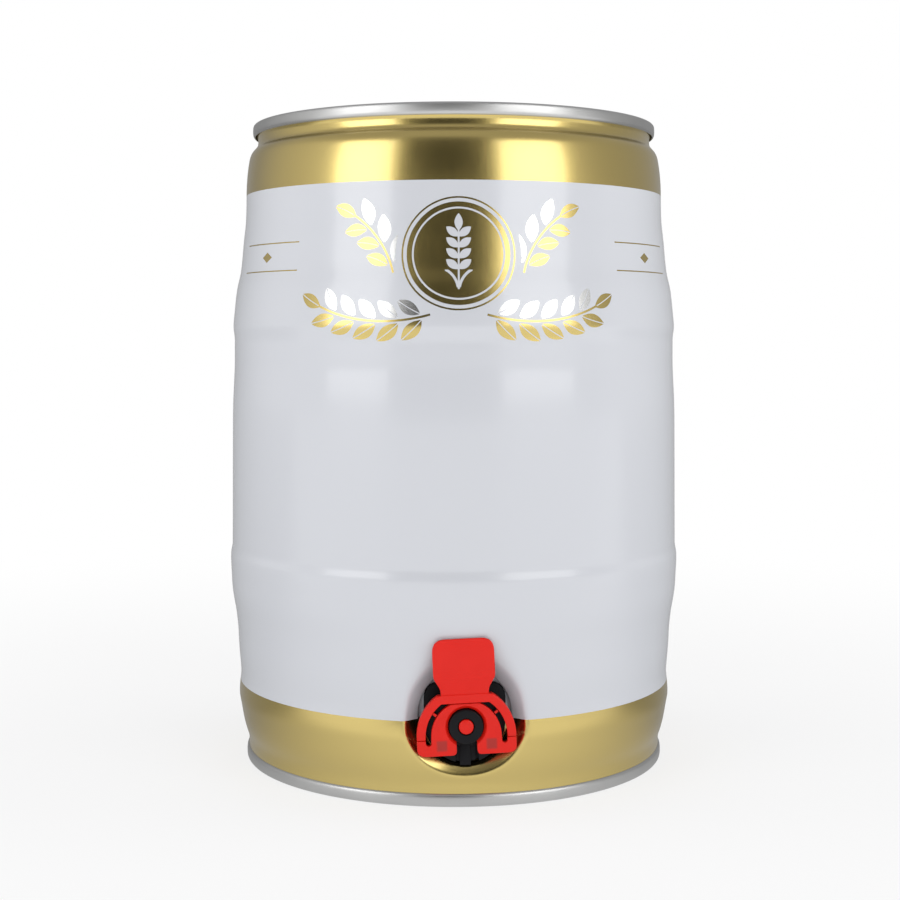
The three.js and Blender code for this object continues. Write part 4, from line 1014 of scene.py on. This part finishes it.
# %% Room light
world = bpy.data.worlds.new("studio")
scene.world = world
world.use_nodes = True
tree = world.node_tree
backdrop = tree.nodes["Background"]
spot = node(tree, "ShaderNodeSeparateXYZ")
tree.links.new(node(tree, "ShaderNodeTexCoord").outputs["Generated"], spot.inputs[0])
front = calc(tree, "MULTIPLY", spot.outputs["Y"], -1.0)
room_turn = calc(tree, "ARCTAN2", spot.outputs["X"], front)
ROOM = [(-180, 0.32), (-140, 0.34), (-110, 0.62), (-72, 0.85), (-38, 0.85), (-31, 0.08), (-8, 0.03),
        (15, 0.05), (22, 0.7), (60, 0.68), (85, 0.5), (120, 0.42), (180, 0.32)]
ramp = node(tree, "ShaderNodeValToRGB")
whole_turn = calc(tree, "ADD", calc(tree, "DIVIDE", room_turn, 2 * pi), 0.5)
feed(tree, ramp.inputs[0], spread(tree, whole_turn, 0, 1))
stops = ramp.color_ramp.elements
while len(stops) < len(ROOM):
    stops.new(0.5)
for stop, (turn_deg, level) in zip(stops, ROOM):
    stop.position = turn_deg / 360 + 0.5
    stop.color = (level, level, level, 1)
overhead = node(tree, "ShaderNodeMapRange", interpolation_type="SMOOTHSTEP")
feed(tree, overhead.inputs["Value"], spot.outputs["Z"])
overhead.inputs["From Min"].default_value = 0.35
overhead.inputs["From Max"].default_value = 0.8
room = blend(tree, overhead.outputs["Result"], ramp.outputs["Color"], (0.5, 0.5, 0.51, 1))
seen = node(tree, "ShaderNodeLightPath").outputs["Is Camera Ray"]
tree.links.new(blend(tree, seen, room, (1, 1, 1, 1)), backdrop.inputs["Color"])
backdrop.inputs["Strength"].default_value = 1.0

# %% Softboxes
LIGHT_FAR = 1.3


def softbox(name, turn, width, height, low, radiance, mirrored_in_metal=True):
    """A tall upright softbox; turn is in degrees from the front, towards +X."""
    data = bpy.data.lights.new(name, "AREA")
    data.shape = "RECTANGLE"
    data.size, data.size_y = width, height
    data.energy = radiance * pi * width * height
    lamp = bpy.data.objects.new(name, data)
    scene.collection.objects.link(lamp)
    place = Vector((sin(radians(turn)), -cos(radians(turn)), 0)) * LIGHT_FAR
    lamp.location = place + Vector((0, 0, low + height / 2))
    lamp.rotation_euler = (-place).to_track_quat("-Z", "Y").to_euler()
    lamp.visible_glossy = mirrored_in_metal


softbox("softbox_left", -51, 0.75, 0.75, 0.17, 2.3)
softbox("softbox_right", 39.5, 0.86, 0.75, 0.17, 2.3)
softbox("fill_front", -3, 1.1, 0.9, -0.35, 2.0, False)
softbox("fill_left", -105, 0.9, 1.0, -0.2, 3.2, False)
softbox("fill_right", 100, 0.9, 1.0, -0.2, 4.1, False)
softbox("fill_back", 180, 0.9, 1.0, -0.2, 1.2, False)

# %% Camera
CAMERA_TURN, CAMERA_FAR, CAMERA_UP = -2.9, 0.622, 0.162
AIM_LEFT = 0.13
camera_data = bpy.data.cameras.new("camera")
camera_data.lens = 64.0
camera_data.sensor_width = 36
camera_data.shift_y = -0.1333  # the lens is shifted, so that upright edges stay parallel
camera = bpy.data.objects.new("camera", camera_data)
scene.collection.objects.link(camera)
turned_to = radians(CAMERA_TURN)
camera.location = (CAMERA_FAR * sin(turned_to), -CAMERA_FAR * cos(turned_to), CAMERA_UP)
camera.rotation_euler = (radians(90), 0, radians(CAMERA_TURN + AIM_LEFT))
scene.camera = camera
scene.view_settings.view_transform = "Standard"
